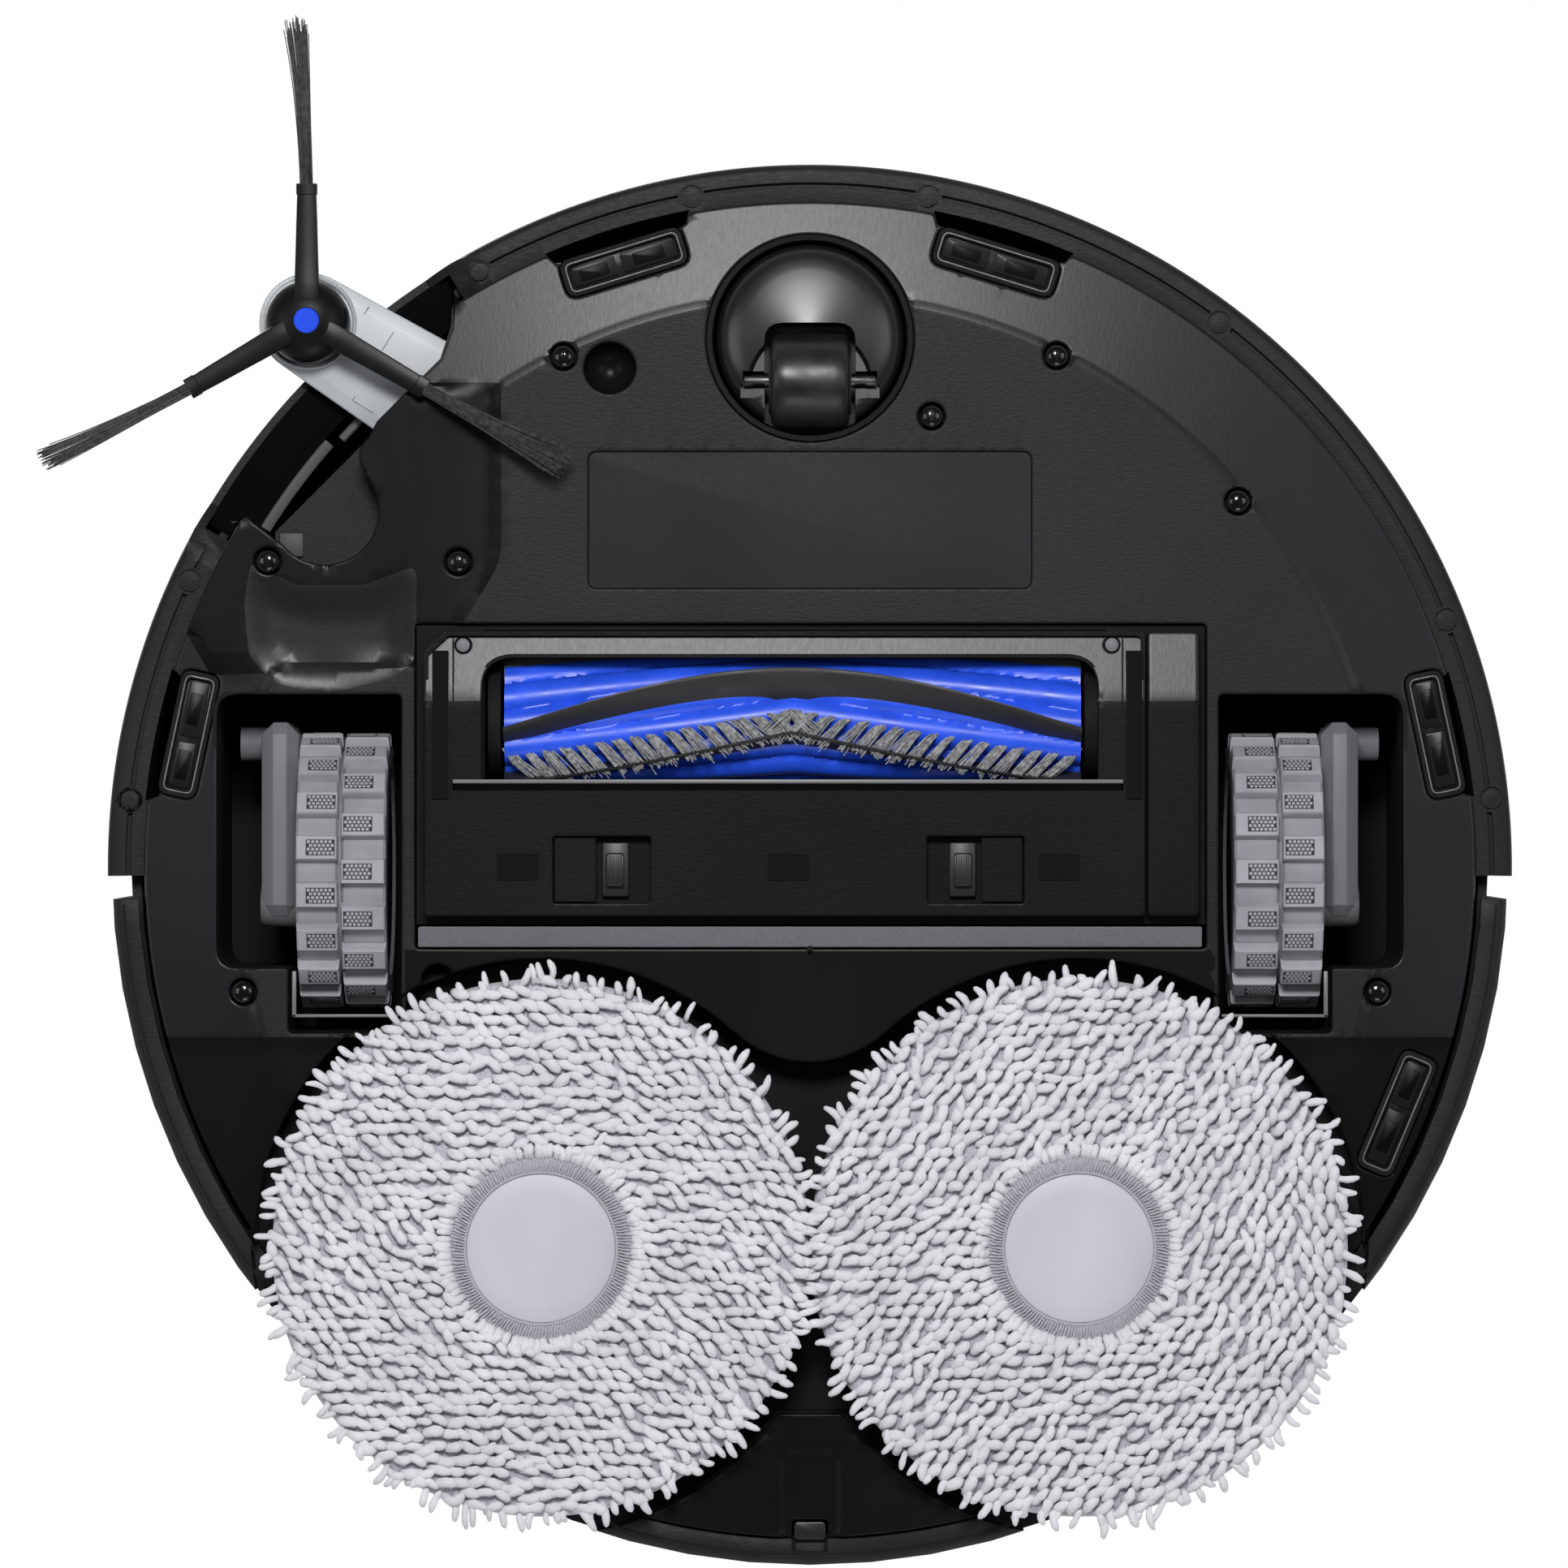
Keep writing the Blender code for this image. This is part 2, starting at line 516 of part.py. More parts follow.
# ---- caster -------------------------------------------------------------------------------------
def caster():
    centre = (0, CASTER_Y)
    socket = turned("socket", [
        (0.0034, 0.0440), (0.0258, 0.0440), (0.0258, 0.0103), (0.0246, 0.0103),
        (0.0246, 0.0410), (0.0034, 0.0410)], centre, steps=40)
    part(socket, "caster_socket", "black_shell")
    swivel = turned("swivel", [
        (0, 0.0430), (0.0030, 0.0430), (0.0030, 0.0310), (CASTER_R, 0.0310), (CASTER_R, 0.0125),
        (0.0222, 0.0095), (0.0180, 0.0068), (0.0110, 0.0052), (0, 0.0046)],
        centre, steps=40, closed=False)
    wheel = (CASTER_WHEEL_Y, CASTER_WHEEL_R)
    slot_y = CASTER_WHEEL_Y - CASTER_WHEEL_R - 0.0018
    cut(swivel, box("slot", (-0.0115, 0.0115), (slot_y, -0.100), (0, 0.0250)),
        cylinder("bore", 0.0021, (-0.0175, 0.0175), wheel, "X", 12))
    origin = (0, CASTER_Y, 0.0310)
    part(swivel, "caster_swivel", "black_gloss", origin)
    part(cylinder("pin", 0.0018, (-0.0165, 0.0165), wheel, "X", 12),
         "caster_axle", "steel", origin)
    half = CASTER_WHEEL_W / 2
    roller = turned("roller", [
        (0.0021, half), (CASTER_WHEEL_R - 0.0012, half), (CASTER_WHEEL_R, half - 0.0012),
        (CASTER_WHEEL_R, -half + 0.0012), (CASTER_WHEEL_R - 0.0012, -half), (0.0021, -half)],
        wheel, "X", 32)
    part(roller, "caster_wheel", "black_rubber", (0, *wheel))


# ---- drive wheels -------------------------------------------------------------------------------
def lug_ring(x0, x1, turn):
    """One row of a tyre: a gear-like outline with flat-topped lugs, lying along X."""
    outline = []
    for i in range(LUGS):
        for step, radius in ((-0.36, WHEEL_R - LUG_DEPTH), (-0.24, WHEEL_R),
                             (0.24, WHEEL_R), (0.36, WHEEL_R - LUG_DEPTH)):
            angle = 2 * math.pi * (i + step) / LUGS + turn
            outline.append((radius * math.cos(angle), radius * math.sin(angle)))
    row = slab("row", outline, (x0, x1))
    row.data.transform(Matrix.Rotation(math.pi / 2, 4, "Y"))
    return row


def drive_wheel(name, side):
    half = WHEEL_W / 2
    middle = side * WHEEL_X
    centre = (WHEEL_Y, WHEEL_R)
    tyre = lug_ring(-half, 0.0002, math.pi / 2 + math.pi / LUGS)
    join(tyre, lug_ring(-0.0002, half, math.pi / 2))
    cut(tyre, cylinder("bore", WHEEL_RIM_R + GAP, (-0.02, 0.02), (0, 0), "X", 36))
    if side < 0:
        tyre.data.transform(Matrix.Rotation(math.pi, 4, "Z"))
    tyre.data.transform(Matrix.Translation((middle, *centre)))
    part(tyre, f"{name}_tyre", "tyre_grey", (middle, *centre))

    face = half - GAP
    hub = turned("hub", [(0, face), (WHEEL_RIM_R, face), (WHEEL_RIM_R, -face), (0, -face)],
                 steps=36, closed=False)
    cut(hub, cylinder("bore", AXLE_R + GAP, (-face + 0.004, face + 0.001), segments=20))
    hub.data.transform(Matrix.Rotation(side * math.pi / 2, 4, "Y"))
    hub.data.transform(Matrix.Translation((middle, *centre)))
    part(hub, f"{name}_wheel_hub", "black_gloss", (middle, *centre))

    near, far = side * 0.1285, side * 0.1379
    housing = box("housing", sorted((near, far)), (-0.0363, 0.0126), (0.0190, 0.0560), 0.003)
    stub = cylinder("stub", AXLE_R, sorted((side * 0.1135, far - side * 0.002)), centre, "X", 20)
    pin = cylinder("pin", 0.0042, sorted((near + side * 0.001, side * 0.1440)),
                   (ARM_PIVOT_Y, ARM_PIVOT_Z), "X", 16)
    join(housing, stub, pin)
    part(housing, f"{name}_drive_housing", "grey_plastic", (side * 0.1332, ARM_PIVOT_Y, ARM_PIVOT_Z))


# ---- roller brush and its cover -----------------------------------------------------------------
def roller_brush():
    """Ribbed core whose fins run in a V along the roller, with a bearing cap at each end."""
    shape = bmesh.new()
    ring = []
    root_r = 0.0150
    for i in range(BRUSH_FINS):
        for step, radius in ((-0.30, root_r), (-0.07, BRUSH_R), (0.07, BRUSH_R), (0.30, root_r)):
            angle = 2 * math.pi * (i + step) / BRUSH_FINS
            ring.append(shape.verts.new((BRUSH_X0, radius * math.cos(angle), radius * math.sin(angle))))
    edges = [shape.edges.new((a, b)) for a, b in zip(ring, ring[1:] + ring[:1])]
    steps, twist = 6, math.radians(55)
    for half, run in ((1, BRUSH_MID_X - BRUSH_X0), (-1, BRUSH_X1 - BRUSH_MID_X)):
        for _ in range(steps):
            grown = bmesh.ops.extrude_edge_only(shape, edges=edges)["geom"]
            moved = [item for item in grown if isinstance(item, bmesh.types.BMVert)]
            edges = [item for item in grown if isinstance(item, bmesh.types.BMEdge)]
            bmesh.ops.translate(shape, vec=(run / steps, 0, 0), verts=moved)
            bmesh.ops.rotate(shape, cent=(0, 0, 0), verts=moved,
                             matrix=Matrix.Rotation(half * twist / steps, 3, "X"))
    bmesh.ops.holes_fill(shape, edges=[edge for edge in shape.edges if edge.is_boundary])
    bmesh.ops.recalc_face_normals(shape, faces=shape.faces)
    mesh = bpy.data.meshes.new("core")
    shape.to_mesh(mesh)
    shape.free()
    mesh.transform(Matrix.Translation((0, BRUSH_Y, BRUSH_Z)))
    origin = (BRUSH_MID_X, BRUSH_Y, BRUSH_Z)
    part(new_object("core", mesh), "brush_core", "blue_rubber", origin)
    for name, x in (("brush_cap_right", (-0.0806, BRUSH_X0 - GAP)),
                    ("brush_cap_left", (BRUSH_X1 + GAP, 0.0733))):
        part(cylinder("cap", 0.0144, x, (BRUSH_Y, BRUSH_Z), "X", 28), name, "black_shell", origin)


def brush_cover():
    """Removable frame over the roller, with a slot for it and windows for the two latches."""
    x, y = (COVER_X0, COVER_X1), (COVER_Y0, COVER_Y1)
    frame = box("frame", x, y, (COVER_Z, COVER_RIM_Z), 0.0010)
    rim = 0.0016
    inner = box("inner", (x[0] + rim, x[1] - rim), (y[0] + rim, y[1] - rim),
                (COVER_Z + COVER_T, 0.02))
    mouth = box("mouth", (MOUTH_X0, MOUTH_X1), (MOUTH_Y0, MOUTH_Y1), (0, 0.02))
    windows = [box("window", w, (-0.0077, 0.0090), (0, 0.02))
               for w in ((-0.0642, -0.0399), (0.0293, 0.0534))]
    cut(frame, inner, mouth, *windows)
    hinge = ((x[0] + x[1]) / 2, COVER_Y0, COVER_RIM_Z)
    part(frame, "brush_cover", "black_shell", hinge)
    for name, outer, inward in (("latch_right", -0.0519, 1), ("latch_left", 0.0414, -1)):
        tab = box("tab", sorted((outer, outer + inward * 0.0155)), (-0.0057, 0.0070),
                  (COVER_Z + COVER_T + GAP, 0.0104))
        nub = box("nub", sorted((outer + inward * 0.0004, outer + inward * 0.0054)),
                  (-0.0043, 0.0057), (COVER_Z + 0.0002, 0.0090))
        part(join(tab, nub), name, "grey_plastic", (outer, 0.0007, 0.0090))


# ---- extending side brush -----------------------------------------------------------------------
def side_arm():
    """Flat arm from its pivot inside the pan out to the hub, with a motor housing over the pivot."""
    along = math.degrees(math.atan2(HUB_Y - SWING_Y, HUB_X - SWING_X))
    tip = arc((HUB_X, HUB_Y), SWING_END_R, along - 90, along + 90, 13)
    root = arc((SWING_X, SWING_Y), 0.0150, along + 95, along + 265, 13)
    arm = slab("arm", tip + root, (SWING_Z, SWING_Z + SWING_T))
    join(arm, cylinder("motor", 0.0120, (SWING_Z + 0.001, 0.0420), (SWING_X, SWING_Y)))
    part(arm, "side_arm", "arm_grey", (SWING_X, SWING_Y, SWING_Z))


def bristle_tuft():
    """A wedge of bristles along +X that droops from its arm and then lies just over the floor."""
    stations = ((TUFT_X0, 0.0020, 0.0030, 0.0050), (TUFT_DROOP_X, 0.0028, 0.0003, 0.0013),
                (BRISTLE_R, 0.0046, 0.0003, 0.0013))
    shape = bmesh.new()
    rings = [[shape.verts.new(corner) for corner in (
        (x, -half, low), (x, half, low), (x, half, high), (x, -half, high))]
        for x, half, low, high in stations]
    shape.faces.new(rings[0])
    shape.faces.new(reversed(rings[-1]))
    for near, far in zip(rings, rings[1:]):
        for i in range(4):
            shape.faces.new((near[i - 1], near[i], far[i], far[i - 1]))
    bmesh.ops.recalc_face_normals(shape, faces=shape.faces)
    mesh = bpy.data.meshes.new("tuft")
    shape.to_mesh(mesh)
    shape.free()
    return new_object("tuft", mesh)


def side_brush():
    centre = (HUB_X, HUB_Y)
    top = SWING_Z - GAP
    hub = turned("dome", [(0, top), (HUB_R, top), (HUB_R, 0.0090), (0.0090, 0.0062),
                          (0.0055, 0.0046), (0, 0.0040)], centre, steps=28, closed=False)
    arms = []
    tufts = []
    for i in range(3):
        turn = Matrix.Rotation(math.radians(-90 + 120 * i), 4, "Z")
        place = Matrix.Translation((*centre, 0)) @ turn
        arm = slab("bar", [(0.006, -0.0032), (0.0340, -0.0023), (0.0340, 0.0023), (0.006, 0.0032)],
                   (0.0054, 0.0084))
        tuft = bristle_tuft()
        arm.data.transform(place)
        tuft.data.transform(place)
        arms.append(arm)
        tufts.append(tuft)
    origin = (HUB_X, HUB_Y, top)
    part(join(hub, *arms), "side_brush_hub", "black_rubber", origin)
    for i, tuft in enumerate(tufts):
        part(tuft, f"side_brush_tuft_{i + 1}", "bristle", origin)


# ---- mops ---------------------------------------------------------------------------------------
def mops():
    """A lifting carriage inside the body, and on it two spinning plates that hold the pads."""
    carriage = box("carriage", (-0.0790, 0.0790), (0.0885, 0.1015), (0.0340, 0.0420), 0.001)
    part(carriage, "mop_carriage", "grey_plastic", (0, MOP_Y, 0.0340))
    for name, side in SIDES:
        centre = (side * MOP_X, MOP_Y)
        plate = turned("plate", [
            (0, 0.0337), (0.0080, 0.0337), (0.0080, 0.0125), (0.0560, 0.0125), (0.0580, 0.0110),
            (0.0580, MOP_T + GAP), (0, MOP_T + GAP)], centre, steps=40, closed=False)
        part(plate, f"{name}_mop_plate", "mop_plastic", (*centre, 0.0337))
        pad = turned("pad", [
            (0, MOP_T), (MOP_R - 0.004, MOP_T), (MOP_R, MOP_T - 0.003), (MOP_R, 0.003),
            (MOP_R - 0.003, 0), (0.0195, 0), (0.0185, 0.0022), (0, 0.0022)],
            centre, steps=48, closed=False)
        part(pad, f"{name}_mop_pad", "mop_cloth", (*centre, MOP_T))


chassis_pan()
rear_panel()
body_deck()
body_wall()
mop_bay()
cliff_windows()
pan_screws()
label_plate()
bumper_shell()
top_cover()
lidar_turret()
power_button()
battery_pack()
fan_unit()
water_tank()
dust_box()
brush_housing()
wiper_strip()
caster()
for side_name, side_sign in SIDES:
    drive_wheel(side_name, side_sign)
roller_brush()
brush_cover()
side_arm()
side_brush()
mops()
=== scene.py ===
"""Looks of the robot vacuum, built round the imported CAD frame.

Shapes are written in millimetres in the robot's own frame, whose origin is the axis of the round body on
the floor: -Y is the front, -X the robot's own right, +Z up. make() turns them into metres of the shared
frame. The underside is what the camera sees, so the surfaces that face down carry most of the detail.
"""
import math

import bmesh
import bpy
import numpy as np
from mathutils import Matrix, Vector
from mathutils.geometry import delaunay_2d_cdt

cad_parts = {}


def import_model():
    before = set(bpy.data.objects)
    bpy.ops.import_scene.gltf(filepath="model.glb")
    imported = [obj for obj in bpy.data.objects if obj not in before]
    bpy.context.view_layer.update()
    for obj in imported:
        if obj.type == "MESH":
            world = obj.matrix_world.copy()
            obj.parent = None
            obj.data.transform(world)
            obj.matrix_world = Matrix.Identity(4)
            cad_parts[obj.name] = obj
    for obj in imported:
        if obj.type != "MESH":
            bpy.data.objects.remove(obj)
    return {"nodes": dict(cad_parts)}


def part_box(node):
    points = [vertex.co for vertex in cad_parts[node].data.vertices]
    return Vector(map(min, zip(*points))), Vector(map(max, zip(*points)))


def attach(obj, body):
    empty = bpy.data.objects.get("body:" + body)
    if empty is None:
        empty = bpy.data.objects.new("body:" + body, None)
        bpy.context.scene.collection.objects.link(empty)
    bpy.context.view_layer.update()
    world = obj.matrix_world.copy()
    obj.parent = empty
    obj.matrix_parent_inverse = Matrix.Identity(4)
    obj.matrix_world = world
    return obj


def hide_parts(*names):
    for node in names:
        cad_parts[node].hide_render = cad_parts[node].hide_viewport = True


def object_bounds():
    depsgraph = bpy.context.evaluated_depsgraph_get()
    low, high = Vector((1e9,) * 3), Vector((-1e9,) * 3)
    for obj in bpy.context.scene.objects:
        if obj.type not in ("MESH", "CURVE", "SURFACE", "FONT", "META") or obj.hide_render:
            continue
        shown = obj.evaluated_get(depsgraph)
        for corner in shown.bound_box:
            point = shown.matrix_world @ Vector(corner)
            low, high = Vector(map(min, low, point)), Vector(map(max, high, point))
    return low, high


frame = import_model()
CAD_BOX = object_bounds()

MM = 0.001
SEED = 11
RNG = np.random.default_rng(SEED)

# ---- places read from the frame ---------------------------------------------------------------
def middle(node):
    low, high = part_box(node)
    return [(a + b) / 2 for a, b in zip(low, high)]


AXIS = Vector((*middle("top_cover")[:2], 0.0))


def span(node):
    """Lowest and highest corner of a CAD node, in millimetres of the robot's own frame."""
    low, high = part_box(node)
    return [tuple((c - o) / MM for c, o in zip(corner, AXIS)) for corner in (low, high)]


def centre(node):
    low, high = span(node)
    return tuple((a + b) / 2 for a, b in zip(low, high))


PAN_Z = span("chassis_pan")[0][2]
PAN_R, PAN_FLAT_R, PAN_SLOPE, PAN_T = 166.8, 142.4, 4.0, 2.8
BODY_R = 175.2
MOP_X, MOP_Y = abs(centre("right_mop_pad")[0]), centre("right_mop_pad")[1]
BAY_R, BAY_NOSE_Y, BAY_REAR_Y = 72.0, 48.8, 136.6
WHEEL_X, WHEEL_Y, WHEEL_R = 117.2, centre("left_tyre")[1], 34.8
ROLLER_X0, ROLLER_X1 = span("brush_core")[0][0], span("brush_core")[1][0]
ROLLER_MID = -4.5
ROLLER_Y, ROLLER_Z = centre("brush_core")[1], centre("brush_core")[2]
CASTER_Y = centre("caster_socket")[1]
CASTER_WHEEL_Y, CASTER_WHEEL_R = centre("caster_wheel")[1], 11.8
HUB = (-125.7, -136.5)
SWING = (-93.5, -116.5)
PARKED = (-121.5, -89.2)
LIDAR = (0, centre("lidar_cap")[1])
BUTTON_Y = 29.0
SCREWS = [centre(f"pan_screw_{i}")[:2] for i in range(1, 9)]
CLIFFS = [centre(f"cliff_window_{i}")[:2] for i in range(1, 6)]
SIDES = (("right", -1), ("left", 1))


# ---- materials ----------------------------------------------------------------------------------
class Nodes:
    """A new material with a Principled shader, and short ways to add nodes to it."""

    def __init__(self, name, colour, rough, metal=0.0, **sockets):
        self.material = bpy.data.materials.new(name)
        self.material.use_nodes = True
        self.tree = self.material.node_tree
        self.shader = self.tree.nodes["Principled BSDF"]
        self.shader.inputs["Base Color"].default_value = (*colour, 1)
        self.shader.inputs["Roughness"].default_value = rough
        self.shader.inputs["Metallic"].default_value = metal
        for socket, value in sockets.items():
            self.shader.inputs[socket.replace("_", " ")].default_value = value
        self.colour = colour

    def add(self, kind, links=(), **settings):
        node = self.tree.nodes.new("ShaderNode" + kind)
        for key, value in settings.items():
            if key in node.inputs:
                node.inputs[key].default_value = value
            else:
                setattr(node, key, value)
        for socket, source in links:
            self.tree.links.new(source, node.inputs[socket])
        return node

    def place(self, scale):
        """Object coordinates in metres, times scale along each axis."""
        coords = self.add("TexCoord")
        mapping = self.add("Mapping", [("Vector", coords.outputs["Object"])])
        mapping.inputs["Scale"].default_value = scale
        return mapping.outputs["Vector"]

    def noise(self, scale, detail=3.0, stretch=(1, 1, 1), roughness=0.55):
        vector = self.place([scale * s for s in stretch])
        node = self.add("TexNoise", [("Vector", vector)])
        node.inputs["Scale"].default_value = 1.0
        node.inputs["Detail"].default_value = detail
        node.inputs["Roughness"].default_value = roughness
        return node.outputs["Fac"]

    def spread(self, source, low, high):
        """Maps a 0.3 to 0.7 noise to low to high."""
        node = self.add("MapRange", [("Value", source)])
        node.inputs["From Min"].default_value = 0.3
        node.inputs["From Max"].default_value = 0.7
        node.inputs["To Min"].default_value = low
        node.inputs["To Max"].default_value = high
        return node.outputs["Result"]

    def tint(self, source, low, high):
        """Colour that runs from low to high times the base colour with the source."""
        ramp = self.add("ValToRGB", [("Fac", source)])
        ramp.color_ramp.elements[0].position = 0.3
        ramp.color_ramp.elements[1].position = 0.7
        ramp.color_ramp.elements[0].color = (*[c * low for c in self.colour], 1)
        ramp.color_ramp.elements[1].color = (*[min(1, c * high) for c in self.colour], 1)
        self.tree.links.new(ramp.outputs["Color"], self.shader.inputs["Base Color"])

    def roughen(self, source, low, high):
        self.tree.links.new(self.spread(source, low, high), self.shader.inputs["Roughness"])

    def bump(self, sources, strength=1.0):
        """Adds bumps one on another; sources holds (height output, depth in millimetres)."""
        normal = None
        for source, depth in sources:
            node = self.add("Bump", [("Height", source)])
            node.inputs["Strength"].default_value = strength
            node.inputs["Distance"].default_value = depth * MM
            if normal:
                self.tree.links.new(normal, node.inputs["Normal"])
            normal = node.outputs["Normal"]
        self.tree.links.new(normal, self.shader.inputs["Normal"])


def leather_plastic(name, colour, rough=0.5, depth=0.10, grain=900, stretch=(0.6, 1.7, 1.0), shine=0.14,
                    swing=(-0.05, 0.10)):
    """Moulded plastic with the fine wrinkled grain of the underside."""
    made = Nodes(name, colour, rough, Specular_IOR_Level=shine)
    wrinkle = made.noise(grain, 4, stretch, 0.65)
    soft = made.noise(18, 2)
    made.tint(soft, 0.85, 1.2)
    made.roughen(wrinkle, rough + swing[0], rough + swing[1])
    made.bump([(wrinkle, depth)])
    return made.material


def smooth_plastic(name, colour, rough=0.35, depth=0.015, **sockets):
    """Satin moulded plastic: faint flow marks, and small changes of gloss from handling."""
    made = Nodes(name, colour, rough, **sockets)
    fine = made.noise(2600, 2)
    flow = made.noise(30, 3, (1, 0.4, 1))
    made.tint(flow, 0.92, 1.08)
    made.roughen(flow, max(0.03, rough - 0.05), rough + 0.06)
    made.bump([(fine, depth)])
    return made.material


def rubber(name, colour, rough=0.6, depth=0.03, low=0.9, high=1.12):
    made = Nodes(name, colour, rough, Specular_IOR_Level=0.4)
    dust = made.noise(120, 4)
    fine = made.noise(3000, 2)
    made.tint(dust, low, high)
    made.roughen(dust, rough - 0.06, min(1, rough + 0.12))
    made.bump([(fine, depth)])
    return made.material


def felt(name, colour, scale=4200, sheen=0.25):
    made = Nodes(name, colour, 0.95, Sheen_Weight=sheen, Sheen_Roughness=0.5, Specular_IOR_Level=0.2)
    fibre = made.noise(scale, 4, (1, 1, 1), 0.7)
    made.tint(fibre, 0.55, 1.5)
    made.bump([(fibre, 0.25)])
    return made.material


def chenille(name, colour):
    """Soft microfibre pile: fuzz on each strand, and slow changes of shade over the pad."""
    made = Nodes(name, colour, 0.95, Sheen_Weight=0.35, Sheen_Roughness=0.6, Specular_IOR_Level=0.2)
    fuzz = made.noise(2300, 4, (1, 1, 1), 0.7)
    patch = made.noise(60, 3)
    made.tint(patch, 0.88, 1.06)
    made.bump([(fuzz, 0.35)])
    return made.material


def hair(name, colour, low=0.6, high=1.6):
    made = Nodes(name, colour, 0.55, Specular_IOR_Level=0.5)
    strands = made.noise(900, 3)
    made.tint(strands, low, high)
    made.bump([(made.noise(6000, 2), 0.02)])
    return made.material


def smoked_glass(name, colour, rough=0.05):
    made = Nodes(name, colour, rough, Coat_Weight=0.6, Coat_Roughness=0.03)
    made.shader.inputs["Transmission Weight"].default_value = 0.35
    smear = made.noise(40, 3)
    made.roughen(smear, rough, rough + 0.07)
    made.bump([(made.noise(300, 2), 0.004)])
    return made.material


def ground_steel(name, colour):
    made = Nodes(name, colour, 0.3, 1.0)
    lines = made.noise(400, 3, (1, 12, 12))
    made.roughen(lines, 0.22, 0.42)
    made.bump([(lines, 0.01)])
    return made.material


SHELL = leather_plastic("shell_black", (0.013, 0.013, 0.0138), 0.42, 0.075, shine=0.105)
SLOPE = leather_plastic("slope_black", (0.011, 0.011, 0.0125), 0.29, 0.016, 800, (1.7, 0.6, 1.0), 0.19,
                        (-0.01, 0.03))
# Smoother black than the shell: its lower roughness is a finish, while its darker colour and weaker specular
# are painted shade on the lobe, the rear of the pan, the rear fairing and the round recess.
SATIN_SHADE = smooth_plastic("satin_black_painted_shade", (0.006, 0.006, 0.0064), 0.28, 0.003, Specular_IOR_Level=0.07)
PANEL = smooth_plastic("panel_black", (0.018, 0.018, 0.019), 0.42)
# Darker matte black than the shell, for the insides, seams and sensor frames. In the gap ring round the
# caster, the seats round the screw heads and the wheel-well liners, its extra darkness is painted shade.
DEEP_AND_SHADE = smooth_plastic("inside_black_and_shade", (0.004, 0.004, 0.0044), 0.75, Specular_IOR_Level=0.2)
# Near-black matte sheets put where a gap or slot lies in shade: painted shade.
SHADE_BLACK = smooth_plastic("painted_shade_black", (0.0015, 0.0015, 0.0016), 0.85, Specular_IOR_Level=0.05)
GLOSS = smooth_plastic("gloss_black", (0.004, 0.004, 0.0045), 0.13, 0.003)
FRAME_GREY = smooth_plastic("frame_black", (0.016, 0.0165, 0.0175), 0.36, 0.01, Specular_IOR_Level=0.3)
COVER_BLACK = leather_plastic("cover_black", (0.007, 0.007, 0.0075), 0.36, 0.06, 700, shine=0.055)
HOUSING_GREY = smooth_plastic("housing_grey", (0.15, 0.152, 0.165), 0.50, Specular_IOR_Level=0.3)
MODULE_GREY = smooth_plastic("module_grey", (0.11, 0.11, 0.115), 0.5)
ARM_GREY = smooth_plastic("arm_grey", (0.375, 0.400, 0.420), 0.40)
RAIL_GREY = smooth_plastic("rail_grey", (0.060, 0.060, 0.063), 0.50, Specular_IOR_Level=0.25)
BLUE = rubber("roller_blue", (0.018, 0.080, 0.70), 0.34, 0.006, 0.85, 1.15)
BLUE_CAP = smooth_plastic("cap_blue", (0.010, 0.060, 0.66), 0.45, Specular_IOR_Level=0.08)
FIN_RUBBER = rubber("fin_rubber", (0.017, 0.017, 0.018), 0.48)
TYRE = rubber("tyre_grey", (0.30, 0.302, 0.330), 0.62, 0.04)
TYRE_GROOVE = rubber("tyre_groove", (0.24, 0.24, 0.265), 0.7)
# Dark rubber that shows as lines between the tread's hexagons: painted shade of the grooves.
TREAD_SHADE = rubber("tread_groove_shade", (0.030, 0.030, 0.034), 0.8)
STRIP = felt("strip_grey", (0.145, 0.14, 0.160), 5200)
FELT_BLACK = felt("felt_black", (0.0022, 0.0022, 0.0024), sheen=0.05)
BRISTLE = hair("side_bristle", (0.022, 0.022, 0.023), 0.35, 2.2)
ROLLER_HAIR = hair("roller_bristle", (0.26, 0.26, 0.265), 0.45, 1.7)
MOP = chenille("mop_chenille", (0.76, 0.755, 0.80))
# Backing cloth, darker than the yarn, also used on the dust filter. On the pads it shows in the gaps between
# strands, where its darkness is partly painted shade.
MOP_BACK = felt("mop_backing", (0.50, 0.49, 0.55), 2600)
MOP_DISC = smooth_plastic("mop_disc", (0.475, 0.462, 0.520), 0.50, 0.008)
STITCH = felt("mop_stitch", (0.46, 0.45, 0.50), 6000)
LENS = smooth_plastic("sensor_lens", (0.010, 0.011, 0.010), 0.30, 0.002, Specular_IOR_Level=0.12)
LENS_EYE = smooth_plastic("sensor_eye", (0.003, 0.003, 0.003), 0.35, 0.002, Specular_IOR_Level=0.08)
TURRET_LENS = smoked_glass("turret_lens", (0.012, 0.010, 0.012))
# Light grey for the thin line on each sensor frame: painted highlight along the frame's edge.
RIM_HIGHLIGHT = smooth_plastic("sensor_rim_highlight", (0.16, 0.163, 0.168), 0.30, Specular_IOR_Level=0.4)
STEEL = ground_steel("axle_steel", (0.16, 0.16, 0.165))
LABEL_BLACK = leather_plastic("label_black", (0.019, 0.019, 0.0205), 0.58, 0.02, 1500)
